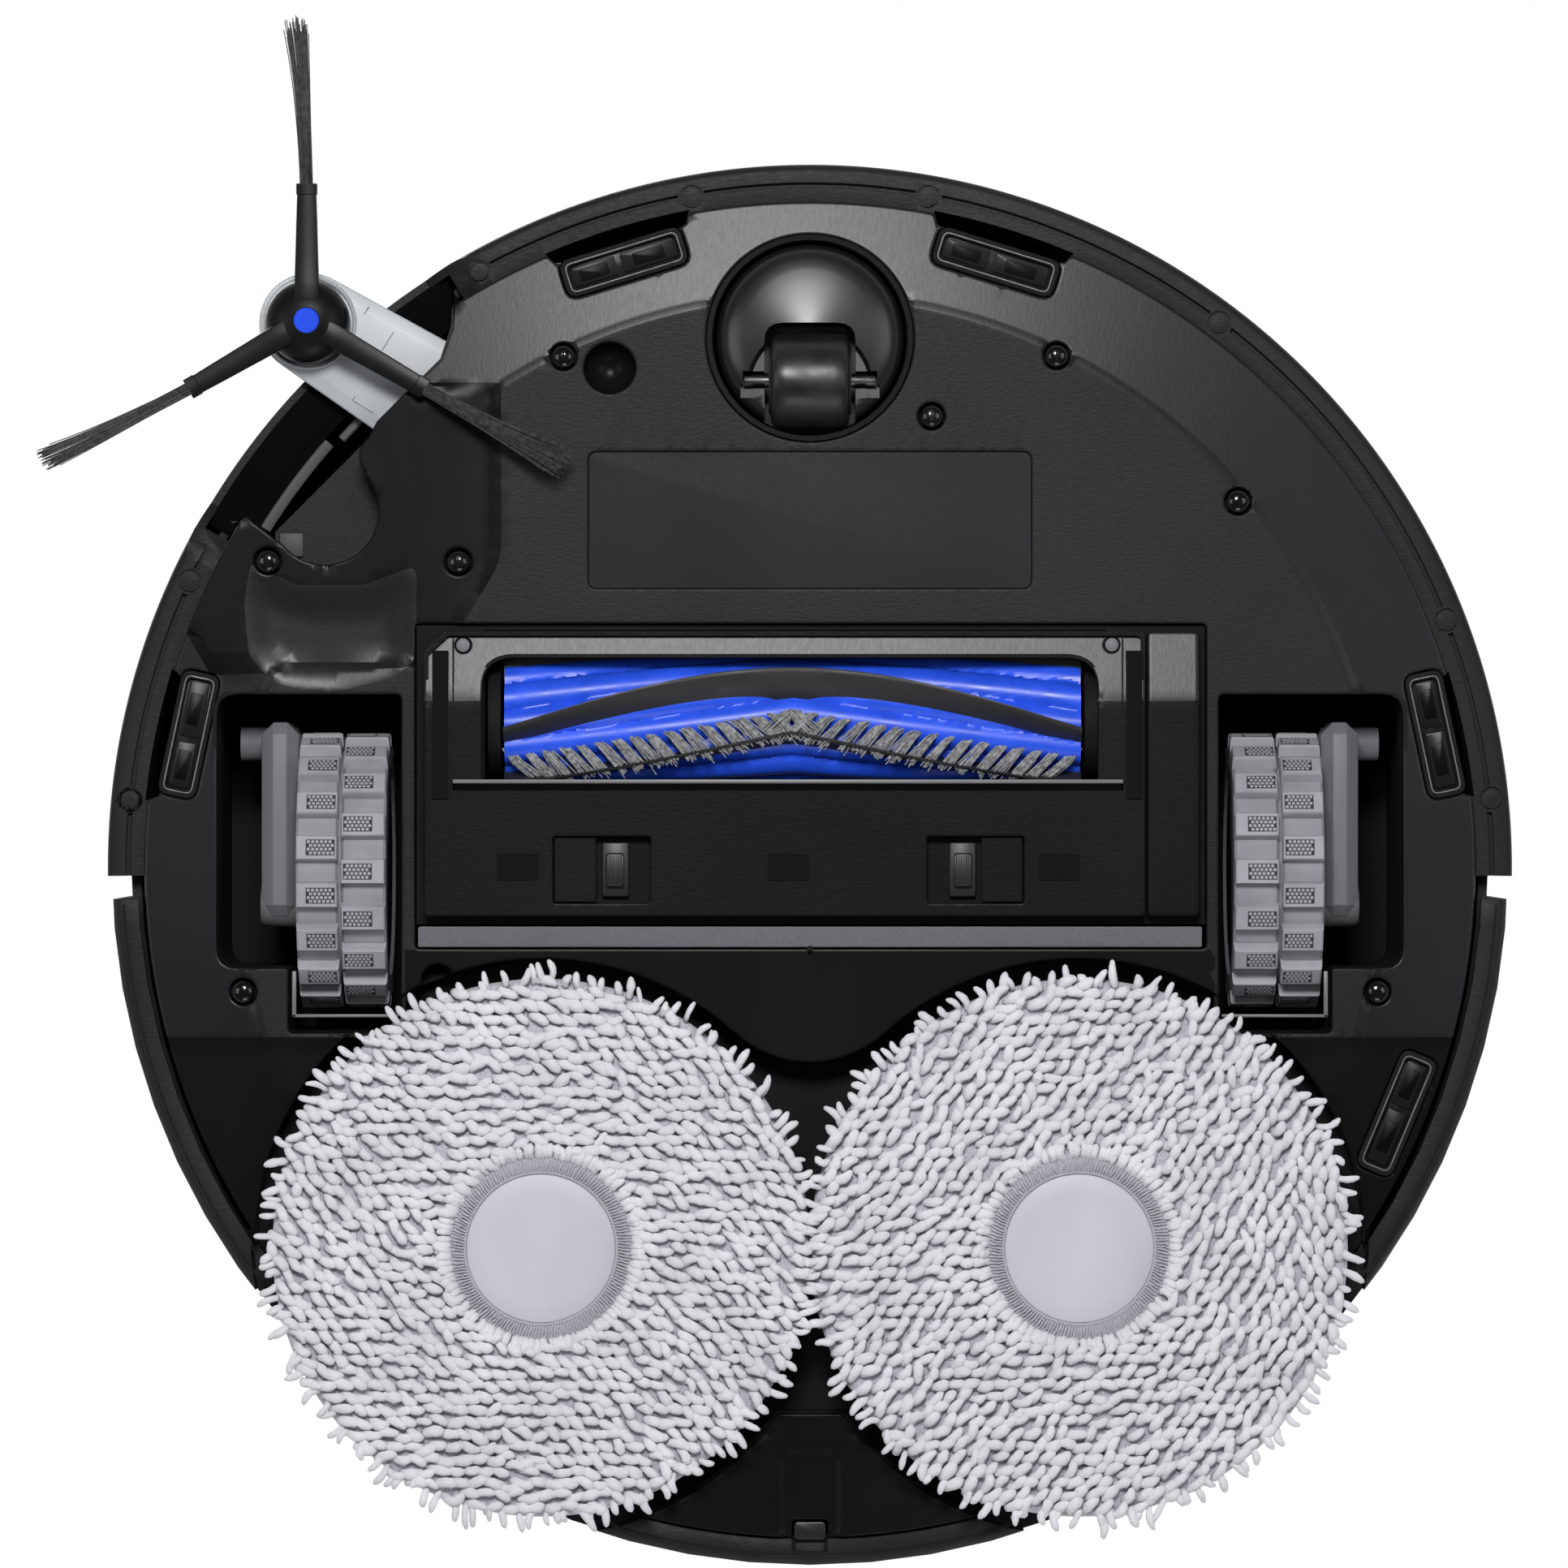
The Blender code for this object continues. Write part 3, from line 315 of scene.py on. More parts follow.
# Light grey for thin strips along the mouth's rear edge and the wheel wells' edges: painted highlight.
EDGE_HIGHLIGHT = smooth_plastic("edge_highlight_grey", (0.13, 0.13, 0.137), 0.4)
POCKET = leather_plastic("pocket_black", (0.013, 0.013, 0.0138), 0.50, 0.05, 1100)
HUB_BLACK = smooth_plastic("hub_black", (0.006, 0.006, 0.0065), 0.33, 0.004, Specular_IOR_Level=0.11)
CASTER_GLOSS = smooth_plastic("caster_gloss", (0.008, 0.008, 0.009), 0.30, 0.004)
CASTER_RUBBER = rubber("caster_rubber", (0.010, 0.010, 0.011), 0.34, 0.004)
LID_BLACK = leather_plastic("lid_black", (0.020, 0.020, 0.021), 0.38, 0.02, 2200)


# ---- mesh helpers ---------------------------------------------------------------------------------
def shade(mesh, angle=35):
    mesh.shade_smooth()
    mesh.set_sharp_from_angle(angle=math.radians(angle))


def linked(name, points, faces, checked=False):
    """A new object in the scene, with every face turned outwards."""
    mesh = bpy.data.meshes.new(name)
    mesh.from_pydata(points, [], faces)
    if checked:
        mesh.validate()
    shape = bmesh.new()
    shape.from_mesh(mesh)
    bmesh.ops.recalc_face_normals(shape, faces=shape.faces)
    shape.to_mesh(mesh)
    shape.free()
    obj = bpy.data.objects.new(name, mesh)
    bpy.context.scene.collection.objects.link(obj)
    return obj


def make(name, parts, material, body, replaces=(), angle=35):
    """One object from a list of (points in millimetres, faces)."""
    points, faces, base = [], [], 0
    for verts, polys in parts:
        verts = np.asarray(verts, float).reshape(-1, 3)
        points.append(verts)
        faces.extend([tuple(i + base for i in face) for face in polys])
        base += len(verts)
    points = np.concatenate(points) * MM + np.array(AXIS)
    obj = linked(name, points.tolist(), faces, checked=True)
    for item in material if isinstance(material, (list, tuple)) else [material]:
        obj.data.materials.append(item)
    shade(obj.data, angle)
    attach(obj, body)
    if replaces:
        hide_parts(*replaces)
    return obj


def solid_of(part):
    """A helper object in millimetres, for Booleans."""
    verts, faces = part
    return linked("solid", [tuple(v) for v in verts], faces)


def carve(part, cutters=(), unions=()):
    """The part after the cutters are taken from it and the unions are joined to it."""
    target = solid_of(part)
    others = []
    for operation, group in (("UNION", unions), ("DIFFERENCE", cutters)):
        for other in group:
            tool = solid_of(other)
            others.append(tool)
            step = target.modifiers.new("step", "BOOLEAN")
            step.operation = operation
            step.solver = "EXACT"
            step.object = tool
    bpy.context.view_layer.update()
    graph = bpy.context.evaluated_depsgraph_get()
    mesh = bpy.data.meshes.new_from_object(target.evaluated_get(graph))
    result = ([tuple(v.co) for v in mesh.vertices], [tuple(p.vertices) for p in mesh.polygons])
    for used in [target, *others]:
        bpy.data.objects.remove(used)
    bpy.data.meshes.remove(mesh)
    return result


def bevelled(part, width, segments=2, angle=40):
    """The part with its sharp edges rounded."""
    shape = bmesh.new()
    verts = [shape.verts.new(v) for v in part[0]]
    for face in part[1]:
        try:
            shape.faces.new([verts[i] for i in face])
        except ValueError:
            continue
    bmesh.ops.recalc_face_normals(shape, faces=shape.faces)
    limit = math.radians(angle)
    edges = [e for e in shape.edges if len(e.link_faces) == 2 and e.calc_face_angle(0) > limit]
    bmesh.ops.bevel(shape, geom=edges, offset=width, segments=segments, affect="EDGES",
                    profile=0.5, clamp_overlap=True)
    shape.verts.index_update()
    result = ([tuple(v.co) for v in shape.verts], [tuple(v.index for v in f.verts) for f in shape.faces])
    shape.free()
    return result


def box(x, y, z, bevel=0.0, segments=2):
    corners = [(a, b, c) for c in z for b in y for a in x]
    faces = [(0, 2, 3, 1), (4, 5, 7, 6), (0, 1, 5, 4), (2, 6, 7, 3), (0, 4, 6, 2), (1, 3, 7, 5)]
    part = (corners, faces)
    return bevelled(part, bevel, segments) if bevel else part


def lathe(profile, middle_xy=(0, 0), steps=96, start=0.0, end=360.0, axis="Z", closed=False):
    """Turned solid from (radius, height) points; a part of a turn gets flat ends."""
    full = abs(end - start) >= 359.999
    count = steps if full else steps + 1
    angles = np.radians(start + (end - start) * np.arange(count) / steps)
    rows = len(profile)
    radius = np.array([p[0] for p in profile])
    height = np.array([p[1] for p in profile])
    cos, sin = np.cos(angles)[:, None], np.sin(angles)[:, None]
    points = np.stack([radius * cos, radius * sin, np.broadcast_to(height, (count, rows))], -1)
    points = points.reshape(-1, 3)
    faces = []
    pairs = [(i, i + 1) for i in range(rows - 1)] + ([(rows - 1, 0)] if closed else [])
    for s in range(count if full else count - 1):
        n = (s + 1) % count
        for a, b in pairs:
            quad = [s * rows + a, s * rows + b, n * rows + b, n * rows + a]
            if radius[a] < 1e-6:
                quad = [s * rows + a, s * rows + b, n * rows + b]
            elif radius[b] < 1e-6:
                quad = [s * rows + a, s * rows + b, n * rows + a]
            faces.append(tuple(quad))
    if not full:
        faces.append(tuple(range(rows)))
        faces.append(tuple(reversed(range((count - 1) * rows, count * rows))))
    points, faces = merged(points, faces)
    if axis == "X":
        points = np.stack([points[:, 2], points[:, 1], -points[:, 0]], -1)
        points = points + np.array([0, middle_xy[0], middle_xy[1]])
    else:
        points = points + np.array([middle_xy[0], middle_xy[1], 0])
    return points, faces


def merged(points, faces):
    """Welds equal points, as on a turned shape's axis."""
    keys, index = np.unique(np.round(points, 5), axis=0, return_inverse=True)
    index = index.reshape(-1)
    welded = []
    for face in faces:
        ring = [int(index[i]) for i in face]
        ring = [v for i, v in enumerate(ring) if v != ring[i - 1]]
        if len(ring) > 2:
            welded.append(tuple(ring))
    return keys, welded


def prism(outline, z0, z1):
    """Flat outline, convex or not, extruded between two heights."""
    n = len(outline)
    points = [(x, y, z0) for x, y in outline] + [(x, y, z1) for x, y in outline]
    sides = [(i, (i + 1) % n, n + (i + 1) % n, n + i) for i in range(n)]
    return points, [tuple(reversed(range(n))), tuple(range(n, 2 * n)), *sides]


def ring_walls(rows, sides):
    """Faces that join each ring of points to the next."""
    faces = []
    for i in range(rows - 1):
        for j in range(sides):
            k = (j + 1) % sides
            faces.append((i * sides + j, i * sides + k, (i + 1) * sides + k, (i + 1) * sides + j))
    return faces


def end_faces(rows, sides):
    return [tuple(reversed(range(sides))), tuple(range((rows - 1) * sides, rows * sides))]


def tube(path, radius, sides=8):
    """Round bar along a path; radius is one number or one for each point."""
    path = np.asarray(path, float)
    radii = np.broadcast_to(np.asarray(radius, float), (len(path),))
    tangent = np.gradient(path, axis=0)
    tangent /= np.linalg.norm(tangent, axis=1)[:, None]
    aid = np.where(np.abs(tangent[:, 2:3]) > 0.9, np.array([[1.0, 0, 0]]), np.array([[0, 0, 1.0]]))
    side = np.cross(tangent, aid)
    side /= np.linalg.norm(side, axis=1)[:, None]
    up = np.cross(side, tangent)
    turn = 2 * math.pi * np.arange(sides) / sides
    ring = side[:, None] * np.cos(turn)[None, :, None] + up[:, None] * np.sin(turn)[None, :, None]
    points = (path[:, None] + ring * radii[:, None, None]).reshape(-1, 3)
    return points, ring_walls(len(path), sides) + end_faces(len(path), sides)


def loft(rings):
    """Solid through a row of rings of equal point count, closed at both ends."""
    rows, sides = len(rings), len(rings[0])
    points = [p for ring in rings for p in ring]
    return points, end_faces(rows, sides) + ring_walls(rows, sides)


def moved(part, offset):
    return np.asarray(part[0], float) + np.array(offset), part[1]


def turned_z(part, degrees, about=(0, 0)):
    points = np.asarray(part[0], float).copy()
    c, s = math.cos(math.radians(degrees)), math.sin(math.radians(degrees))
    x, y = points[:, 0] - about[0], points[:, 1] - about[1]
    points[:, 0] = about[0] + c * x - s * y
    points[:, 1] = about[1] + s * x + c * y
    return points, part[1]


def arc(middle_xy, radius, start, end, count):
    turns = np.radians(np.linspace(start, end, count))
    return [(middle_xy[0] + radius * math.cos(t), middle_xy[1] + radius * math.sin(t)) for t in turns]


def rounded(corners, radii, count=5):
    """Outline with each corner rounded by its own radius."""
    outline = []
    n = len(corners)
    radii = radii if isinstance(radii, (list, tuple)) else [radii] * n
    for i in range(n):
        here = np.array(corners[i], float)
        if radii[i] <= 0:
            outline.append(tuple(here))
            continue
        to_last = np.array(corners[i - 1], float) - here
        to_next = np.array(corners[(i + 1) % n], float) - here
        to_last /= np.linalg.norm(to_last)
        to_next /= np.linalg.norm(to_next)
        half = math.acos(max(-1, min(1, float(to_last @ to_next)))) / 2
        back = radii[i] / math.tan(half)
        a, b = here + to_last * back, here + to_next * back
        for t in np.linspace(0, 1, count):
            outline.append(tuple((1 - t) ** 2 * a + 2 * t * (1 - t) * here + t ** 2 * b))
    return outline


def rectangle(x, y, radius, count=5):
    return rounded([(x[0], y[0]), (x[1], y[0]), (x[1], y[1]), (x[0], y[1])], radius, count)


def sided(side, a, b):
    """Two distances out from the middle as a range of x, on the robot's right (-1) or left (1)."""
    return sorted((side * a, side * b))


# ---- plates: downward surfaces of free form -----------------------------------------------------
def inside(points, outline):
    """Which points lie in a closed outline."""
    x, y = points[:, 0], points[:, 1]
    result = np.zeros(len(points), bool)
    for (x0, y0), (x1, y1) in zip(outline, outline[1:] + outline[:1]):
        crosses = (y0 > y) != (y1 > y)
        if crosses.any():
            at = x0 + (y - y0) * (x1 - x0) / (y1 - y0 if y1 != y0 else 1e-12)
            result ^= crosses & (x < at)
    return result


def away(points, outline):
    """Distance of each point from the nearest edge of a closed outline."""
    best = np.full(len(points), 1e9)
    for (x0, y0), (x1, y1) in zip(outline, outline[1:] + outline[:1]):
        a, d = np.array([x0, y0]), np.array([x1 - x0, y1 - y0])
        length = max(float(d @ d), 1e-12)
        t = np.clip(((points - a) @ d) / length, 0, 1)
        best = np.minimum(best, np.hypot(*(points - a - t[:, None] * d).T))
    return best


def fine(outline, step):
    """The outline with no edge longer than step."""
    result = []
    for (x0, y0), (x1, y1) in zip(outline, outline[1:] + outline[:1]):
        count = max(1, math.ceil(math.hypot(x1 - x0, y1 - y0) / step))
        result += [(x0 + (x1 - x0) * i / count, y0 + (y1 - y0) * i / count) for i in range(count)]
    return result


def within(points, loops):
    """Which points lie in the first loop and in none of the others."""
    keep = inside(points, loops[0])
    for hole in loops[1:]:
        keep &= ~inside(points, hole)
    return keep


def normals(outline):
    """The points of a closed outline, and at each one the unit vector to the left of its run."""
    ring = np.array(outline)
    along = np.roll(ring, -1, 0) - np.roll(ring, 1, 0)
    along /= np.maximum(np.linalg.norm(along, axis=1), 1e-9)[:, None]
    return ring, np.stack([-along[:, 1], along[:, 0]], -1)


def lattice(outline, grid):
    """Staggered grid of points over an outline's box."""
    low, high = np.min(outline, axis=0), np.max(outline, axis=0)
    xs = np.arange(low[0] + grid / 2, high[0], grid)
    ys = np.arange(low[1] + grid / 2, high[1], grid)
    mesh_x, mesh_y = np.meshgrid(xs, ys)
    mesh_x[::2] += grid / 2
    return np.stack([mesh_x.ravel(), mesh_y.ravel()], -1)


def fill_points(outer, loops, folds, lip, grid):
    """Points inside a plate: a lattice, and rows beside each edge that carry its rounding."""
    points = [lattice(outer, grid)]
    least = [2.2 * lip + 0.3] * len(points[0])
    for loop in loops:
        ring, normal = normals(loop)
        for depth in (0.4 * lip, lip, 1.6 * lip):
            points += [ring + normal * depth, ring - normal * depth]
            least += [0.85 * depth] * (2 * len(ring))
    points, least = np.concatenate(points), np.array(least)
    keep = within(points, loops)
    points, least = points[keep], least[keep]
    wanted = np.min([away(points, loop) for loop in loops], axis=0) > least
    for fold in folds:
        wanted &= away(points, fold) > np.where(least > 2 * lip, 0.9, 0.15)
    points = points[wanted]
    keys = np.unique(np.round(points / 0.12), axis=0, return_index=True)[1]
    return [tuple(p) for p in points[keys]]


def triangles(points, edges, loops):
    """Flat triangles over a plate, which follow its edges, and the points that they use."""
    flat, _, faces, *_ = delaunay_2d_cdt([Vector(p) for p in points], edges, [], 0, 1e-5)
    flat = np.array([tuple(v) for v in flat])
    mids = np.array([flat[list(face)].mean(axis=0) for face in faces])
    faces = [tuple(face) for face, kept in zip(faces, within(mids, loops)) if kept]
    used = sorted({i for face in faces for i in face})
    renumber = {old: new for new, old in enumerate(used)}
    return flat[used], [tuple(renumber[i] for i in face) for face in faces]


def open_edges(faces):
    """Directed edges that only one face has."""
    edges = dict.fromkeys((a, b) for face in faces for a, b in zip(face, face[1:] + face[:1]))
    return [(a, b) for a, b in edges if (b, a) not in edges]


def plate(outer, holes, height, thick, lip=0.5, step=2.2, grid=3.0, creases=()):
    """Closed solid whose underside is height(x, y), with every edge rounded by lip.

    A crease is a closed line that the faces follow, where the underside changes slope.
    """
    loops = [fine(loop, step) for loop in [outer, *holes]]
    folds = [fine(loop, step) for loop in creases]
    points, edges = [], []
    for loop in loops + folds:
        base = len(points)
        points += loop
        edges += [(base + i, base + (i + 1) % len(loop)) for i in range(len(loop))]
    points += fill_points(outer, loops, folds, lip, grid)
    flat, faces = triangles(points, edges, loops)
    low_z = height(flat[:, 0], flat[:, 1])
    top_z = low_z + thick
    near = np.min([away(flat, loop) for loop in loops], axis=0)
    fall = np.clip(lip - near, 0, lip)
    low_z = low_z + lip - np.sqrt(np.maximum(lip ** 2 - fall ** 2, 0))
    n = len(flat)
    verts = np.concatenate([np.column_stack([flat, low_z]), np.column_stack([flat, top_z])])
    walls = [(b, a, a + n, b + n) for a, b in open_edges(faces)]
    return verts, [tuple(reversed(f)) for f in faces] + [tuple(i + n for i in f) for f in faces] + walls


# ---- CAD nodes that stay as they are --------------------------------------------------------------
def dress(material, *names, bevel=0.25):
    """New material, rounded edges and smooth shading; the node's own points stay where they are."""
    for name in names:
        node = frame["nodes"][name]
        mesh = node.data
        mesh.materials.clear()
        mesh.materials.append(material)
        if "custom_normal" in mesh.attributes:
            mesh.attributes.remove(mesh.attributes["custom_normal"])
        weld = node.modifiers.new("weld", "WELD")
        weld.merge_threshold = 1e-6
        if bevel:
            rounding = node.modifiers.new("rounding", "BEVEL")
            rounding.width = bevel * MM
            rounding.segments = 2
            rounding.limit_method = "ANGLE"
            rounding.angle_limit = math.radians(38)
        mesh.shade_smooth()
        smooth = node.modifiers.new("facets", "EDGE_SPLIT")
        smooth.split_angle = math.radians(34)


def dress_frame():
    dress(SHELL, "body_deck", "body_wall", bevel=0.6)
    dress(DEEP_AND_SHADE, "mop_bay", "brush_housing", "caster_socket", "mop_carriage", bevel=0)
    dress(PANEL, "battery_pack", "fan_unit", bevel=0)
    dress(TURRET_LENS, "water_tank", "dust_box", bevel=0)
    dress(GLOSS, "dust_box_lid", "lidar_rotor")
    dress(MOP_BACK, "dust_filter", bevel=0)
    dress(TURRET_LENS, "lidar_window", bevel=0.1)
    dress(MOP_DISC, "right_mop_plate", "left_mop_plate")
    dress(STEEL, "caster_axle", bevel=0.2)
    dress(DEEP_AND_SHADE, "brush_cap_right", "brush_cap_left")


# ---- stage, light and camera ----------------------------------------------------------------------
def floor():
    """Pale floor that is drawn from above only, because the camera looks up through it."""
    size = 3.5
    mesh = bpy.data.meshes.new("floor")
    mesh.from_pydata([(-size, -size, 0), (size, -size, 0), (size, size, 0), (-size, size, 0)],
                     [], [(0, 1, 2, 3)])
    obj = bpy.data.objects.new("floor", mesh)
    bpy.context.scene.collection.objects.link(obj)
    pale = Nodes("floor_pale", (0.83, 0.83, 0.84), 0.6)
    pale.tint(pale.noise(9, 2), 0.985, 1.015)
    back = pale.add("NewGeometry").outputs["Backfacing"]
    clear = pale.add("BsdfTransparent").outputs["BSDF"]
    mix = pale.tree.nodes.new("ShaderNodeMixShader")
    pale.tree.links.new(back, mix.inputs[0])
    pale.tree.links.new(pale.shader.outputs["BSDF"], mix.inputs[1])
    pale.tree.links.new(clear, mix.inputs[2])
    pale.tree.links.new(mix.outputs["Shader"], pale.tree.nodes["Material Output"].inputs["Surface"])
    mesh.materials.append(pale.material)
    obj.visible_diffuse = False
    obj.visible_glossy = False
    obj.visible_transmission = False
    obj.visible_shadow = False


def world():
    """White above and a dimmer grey below, which is what the black underside mirrors."""
    made = bpy.data.worlds.new("studio")
    bpy.context.scene.world = made
    bpy.context.scene.view_settings.view_transform = "Standard"
    made.use_nodes = True
    tree = made.node_tree
    coords = tree.nodes.new("ShaderNodeTexCoord")
    split = tree.nodes.new("ShaderNodeSeparateXYZ")
    tree.links.new(coords.outputs["Generated"], split.inputs[0])
    spread = tree.nodes.new("ShaderNodeMapRange")
    spread.inputs["From Min"].default_value = -0.35
    spread.inputs["From Max"].default_value = 0.25
    tree.links.new(split.outputs["Z"], spread.inputs["Value"])
    ramp = tree.nodes.new("ShaderNodeValToRGB")
    ramp.color_ramp.elements[0].color = (0.07, 0.07, 0.074, 1)
    ramp.color_ramp.elements[1].color = (1.0, 1.0, 1.0, 1)
    tree.links.new(spread.outputs["Result"], ramp.inputs["Fac"])
    tree.links.new(ramp.outputs["Color"], tree.nodes["Background"].inputs["Color"])


def lamp(name, at, target, size, power, size_y=None):
    light = bpy.data.lights.new(name, "AREA")
    light.shape = "RECTANGLE"
    light.size = size
    light.size_y = size_y or size
    light.energy = power
    obj = bpy.data.objects.new(name, light)
    bpy.context.scene.collection.objects.link(obj)
    obj.location = at
    obj.rotation_euler = (Vector(target) - Vector(at)).to_track_quat("-Z", "Y").to_euler()


def lights():
    lamp("front_below", (-0.05, -0.58, -1.45), (0, -0.05, 0), 0.42, 21, 0.30)
    lamp("left_below", (1.3, -0.25, -1.5), (0, 0, 0), 0.9, 6)
    lamp("right_below", (-1.4, -0.1, -1.4), (0, 0, 0), 0.9, 6)
    lamp("rear_below", (0.2, 1.9, -1.3), (0, 0.05, 0), 1.0, 9)
    lamp("above", (-0.8, -1.0, 1.8), (0, 0, 0.05), 1.2, 22)
    lamp("above_rear", (1.1, 1.2, 1.3), (0, 0, 0.05), 0.9, 10)


def camera():
    """Looks straight up at the underside, with the robot's front at the top of the view."""
    lens, sensor, width = 200.0, 36.0, 0.3935
    low, high = CAD_BOX
    data = bpy.data.cameras.new("camera")
    data.lens = lens
    data.sensor_width = sensor
    obj = bpy.data.objects.new("camera", data)
    bpy.context.scene.collection.objects.link(obj)
    distance = width * lens / sensor
    aim = AXIS + Vector((-6.5, -20.8, 17.0)) * MM
    obj.location = aim - Vector((0, 0, distance))
    obj.rotation_euler = (math.pi, 0, 0)
    data.clip_end = 50
    bpy.context.scene.camera = obj


# ---- mops -----------------------------------------------------------------------------------------
STRAND_SIDES = 7
STRAND_SWELL = np.array([0.80, 0.98, 1.03, 1.07, 1.0, 0.66])
PAD_R, DISC_R = 66.6, 24.2


def strand_faces(rows, sides):
    """Faces of one strand: its wall, then the fans at its tip and its root."""
    last, tip, root = (rows - 1) * sides, rows * sides, rows * sides + 1
    fans = [(last + j, last + (j + 1) % sides, tip) for j in range(sides)]
    fans += [((j + 1) % sides, j, root) for j in range(sides)]
    return ring_walls(rows, sides) + fans


def strands(roots, directions, lengths, radii):
    """Bent blunt worms of yarn, all alike in build, that lie on the pad and turn down at their tips."""
    count, rows, sides = len(roots), len(STRAND_SWELL), STRAND_SIDES
    t = np.linspace(0, 1, rows)
    along = t[None, :] * lengths[:, None]
    drop = np.interp(t, (0, 0.25, 0.6, 1), (4.4, 2.6, 1.55, 2.1))
    bend = RNG.normal(0, 0.5, count)[:, None] * np.sin(math.pi * t)[None, :]
    across = np.stack([-directions[:, 1], directions[:, 0]], -1)
    flat = roots[:, None, :] + along[..., None] * directions[:, None, :]
    flat = flat + bend[..., None] * across[:, None, :]
    height = drop[None, :] + RNG.normal(0, 0.22, count)[:, None]
    path = np.concatenate([flat, height[..., None]], -1)
    wobble = 1 + RNG.normal(0, 0.07, (count, rows))
    radius = np.clip(radii[:, None] * STRAND_SWELL[None, :] * wobble, 0.2, None)
    tangent = np.gradient(path, axis=1)
    tangent /= np.linalg.norm(tangent, axis=2)[..., None]
    side = np.concatenate([across, np.zeros((count, 1))], -1)[:, None, :]
    side = side - (side * tangent).sum(-1)[..., None] * tangent
    side /= np.linalg.norm(side, axis=2)[..., None]
    up = np.cross(side, tangent)
    turn = 2 * math.pi * np.arange(sides) / sides
    ring = side[:, :, None] * np.cos(turn)[:, None] + up[:, :, None] * np.sin(turn)[:, None]
    ring = path[:, :, None] + ring * radius[:, :, None, None]
    tip = path[:, -1] + tangent[:, -1] * (radius[:, -1] * 0.8)[:, None]
    root = path[:, 0] - tangent[:, 0] * (radius[:, 0] * 0.5)[:, None]
    size = rows * sides + 2
    points = np.concatenate([ring.reshape(count, rows * sides, 3), tip[:, None], root[:, None]], 1)
    points[..., 2] = np.maximum(points[..., 2], 0.15)
    faces = [tuple(c + n * size for c in face) for n in range(count) for face in strand_faces(rows, sides)]
    return points.reshape(-1, 3), faces


def pile_direction(x, y, side):
    """How the yarn lies on a pad: nearly level rows on one, steeper ones on the other, both wandering."""
    swirl = 14 * np.sin(x / 21.0 + 1.3 * side) + 12 * np.sin(y / 17.0 - x / 33.0)
    if side < 0:
        return np.radians(24 + swirl - 0.10 * y)
    return np.radians(-48 - 0.35 * x + swirl)


def facing(angle):
    """Unit vectors at the given angles."""
    return np.stack([np.cos(angle), np.sin(angle)], -1)


def pile(side):
    """Yarn over the whole pad, in staggered rows that wander."""
    row, pitch = 3.05, 3.75
    roots = []
    for i, y in enumerate(np.arange(-PAD_R, PAD_R, row)):
        xs = np.arange(-PAD_R, PAD_R, pitch) + (i % 2) * pitch / 2
        roots += [(x, y) for x in xs]
    roots = np.array(roots) + RNG.normal(0, 0.34, (len(roots), 2))
    radius = np.hypot(roots[:, 0], roots[:, 1])
    roots = roots[(radius > DISC_R) & (radius < PAD_R)]
    heading = facing(pile_direction(roots[:, 0], roots[:, 1], side) + RNG.normal(0, 0.30, len(roots)))
    lengths = RNG.normal(4.6, 0.55, len(roots))
    tips = roots + heading * lengths[:, None]
    heading[np.hypot(tips[:, 0], tips[:, 1]) < DISC_R + 0.8] *= -1
    roots = roots - heading * lengths[:, None] * 0.5
    return strands(roots, heading, lengths, RNG.normal(1.27, 0.09, len(roots)))


def fringe(side):
    """Thinner yarn that sticks out past the pad's rim."""
    count = 132
    turn = 2 * math.pi * (np.arange(count) + RNG.normal(0, 0.28, count)) / count
    lean = turn + RNG.normal(0.10 * side, 0.30, count)
    edge = facing(turn) * RNG.normal(65.6, 0.6, count)[:, None]
    return strands(edge, facing(lean), RNG.normal(4.6, 0.9, count), RNG.normal(0.92, 0.10, count))


def collar():
    """Short yarn all round the middle disc."""
    count = 96
    turn = 2 * math.pi * (np.arange(count) + 0.5) / count
    edge = facing(turn) * 22.6
    return strands(edge, facing(turn), RNG.normal(3.4, 0.4, count), RNG.normal(1.05, 0.08, count))


def overlock(middle_xy):
    """Stitches that wrap the edge of the disc's hole, over a thin cord."""
    inner, width, count = 19.0, 3.7, 168
    loops = []
    for i in range(count):
        start, end = i * 360 / count, (i + 0.7) * 360 / count
        path = []
        for t in np.linspace(0, 1, 6):
            turn = math.radians(start + (end - start) * t + RNG.normal(0, 0.25))
            r = inner + width * t
            z = 2.45 - 0.75 * math.sin(math.pi * min(1, t * 1.15 + 0.02))
            path.append((middle_xy[0] + r * math.cos(turn), middle_xy[1] + r * math.sin(turn), z))
        loops.append(tube(path, 0.24, 5))
    cord = [(middle_xy[0] + 18.95 * math.cos(a), middle_xy[1] + 18.95 * math.sin(a), 2.35)
            for a in np.linspace(0, 2 * math.pi, 97)]
    return [*loops, tube(cord, 0.35, 6)]


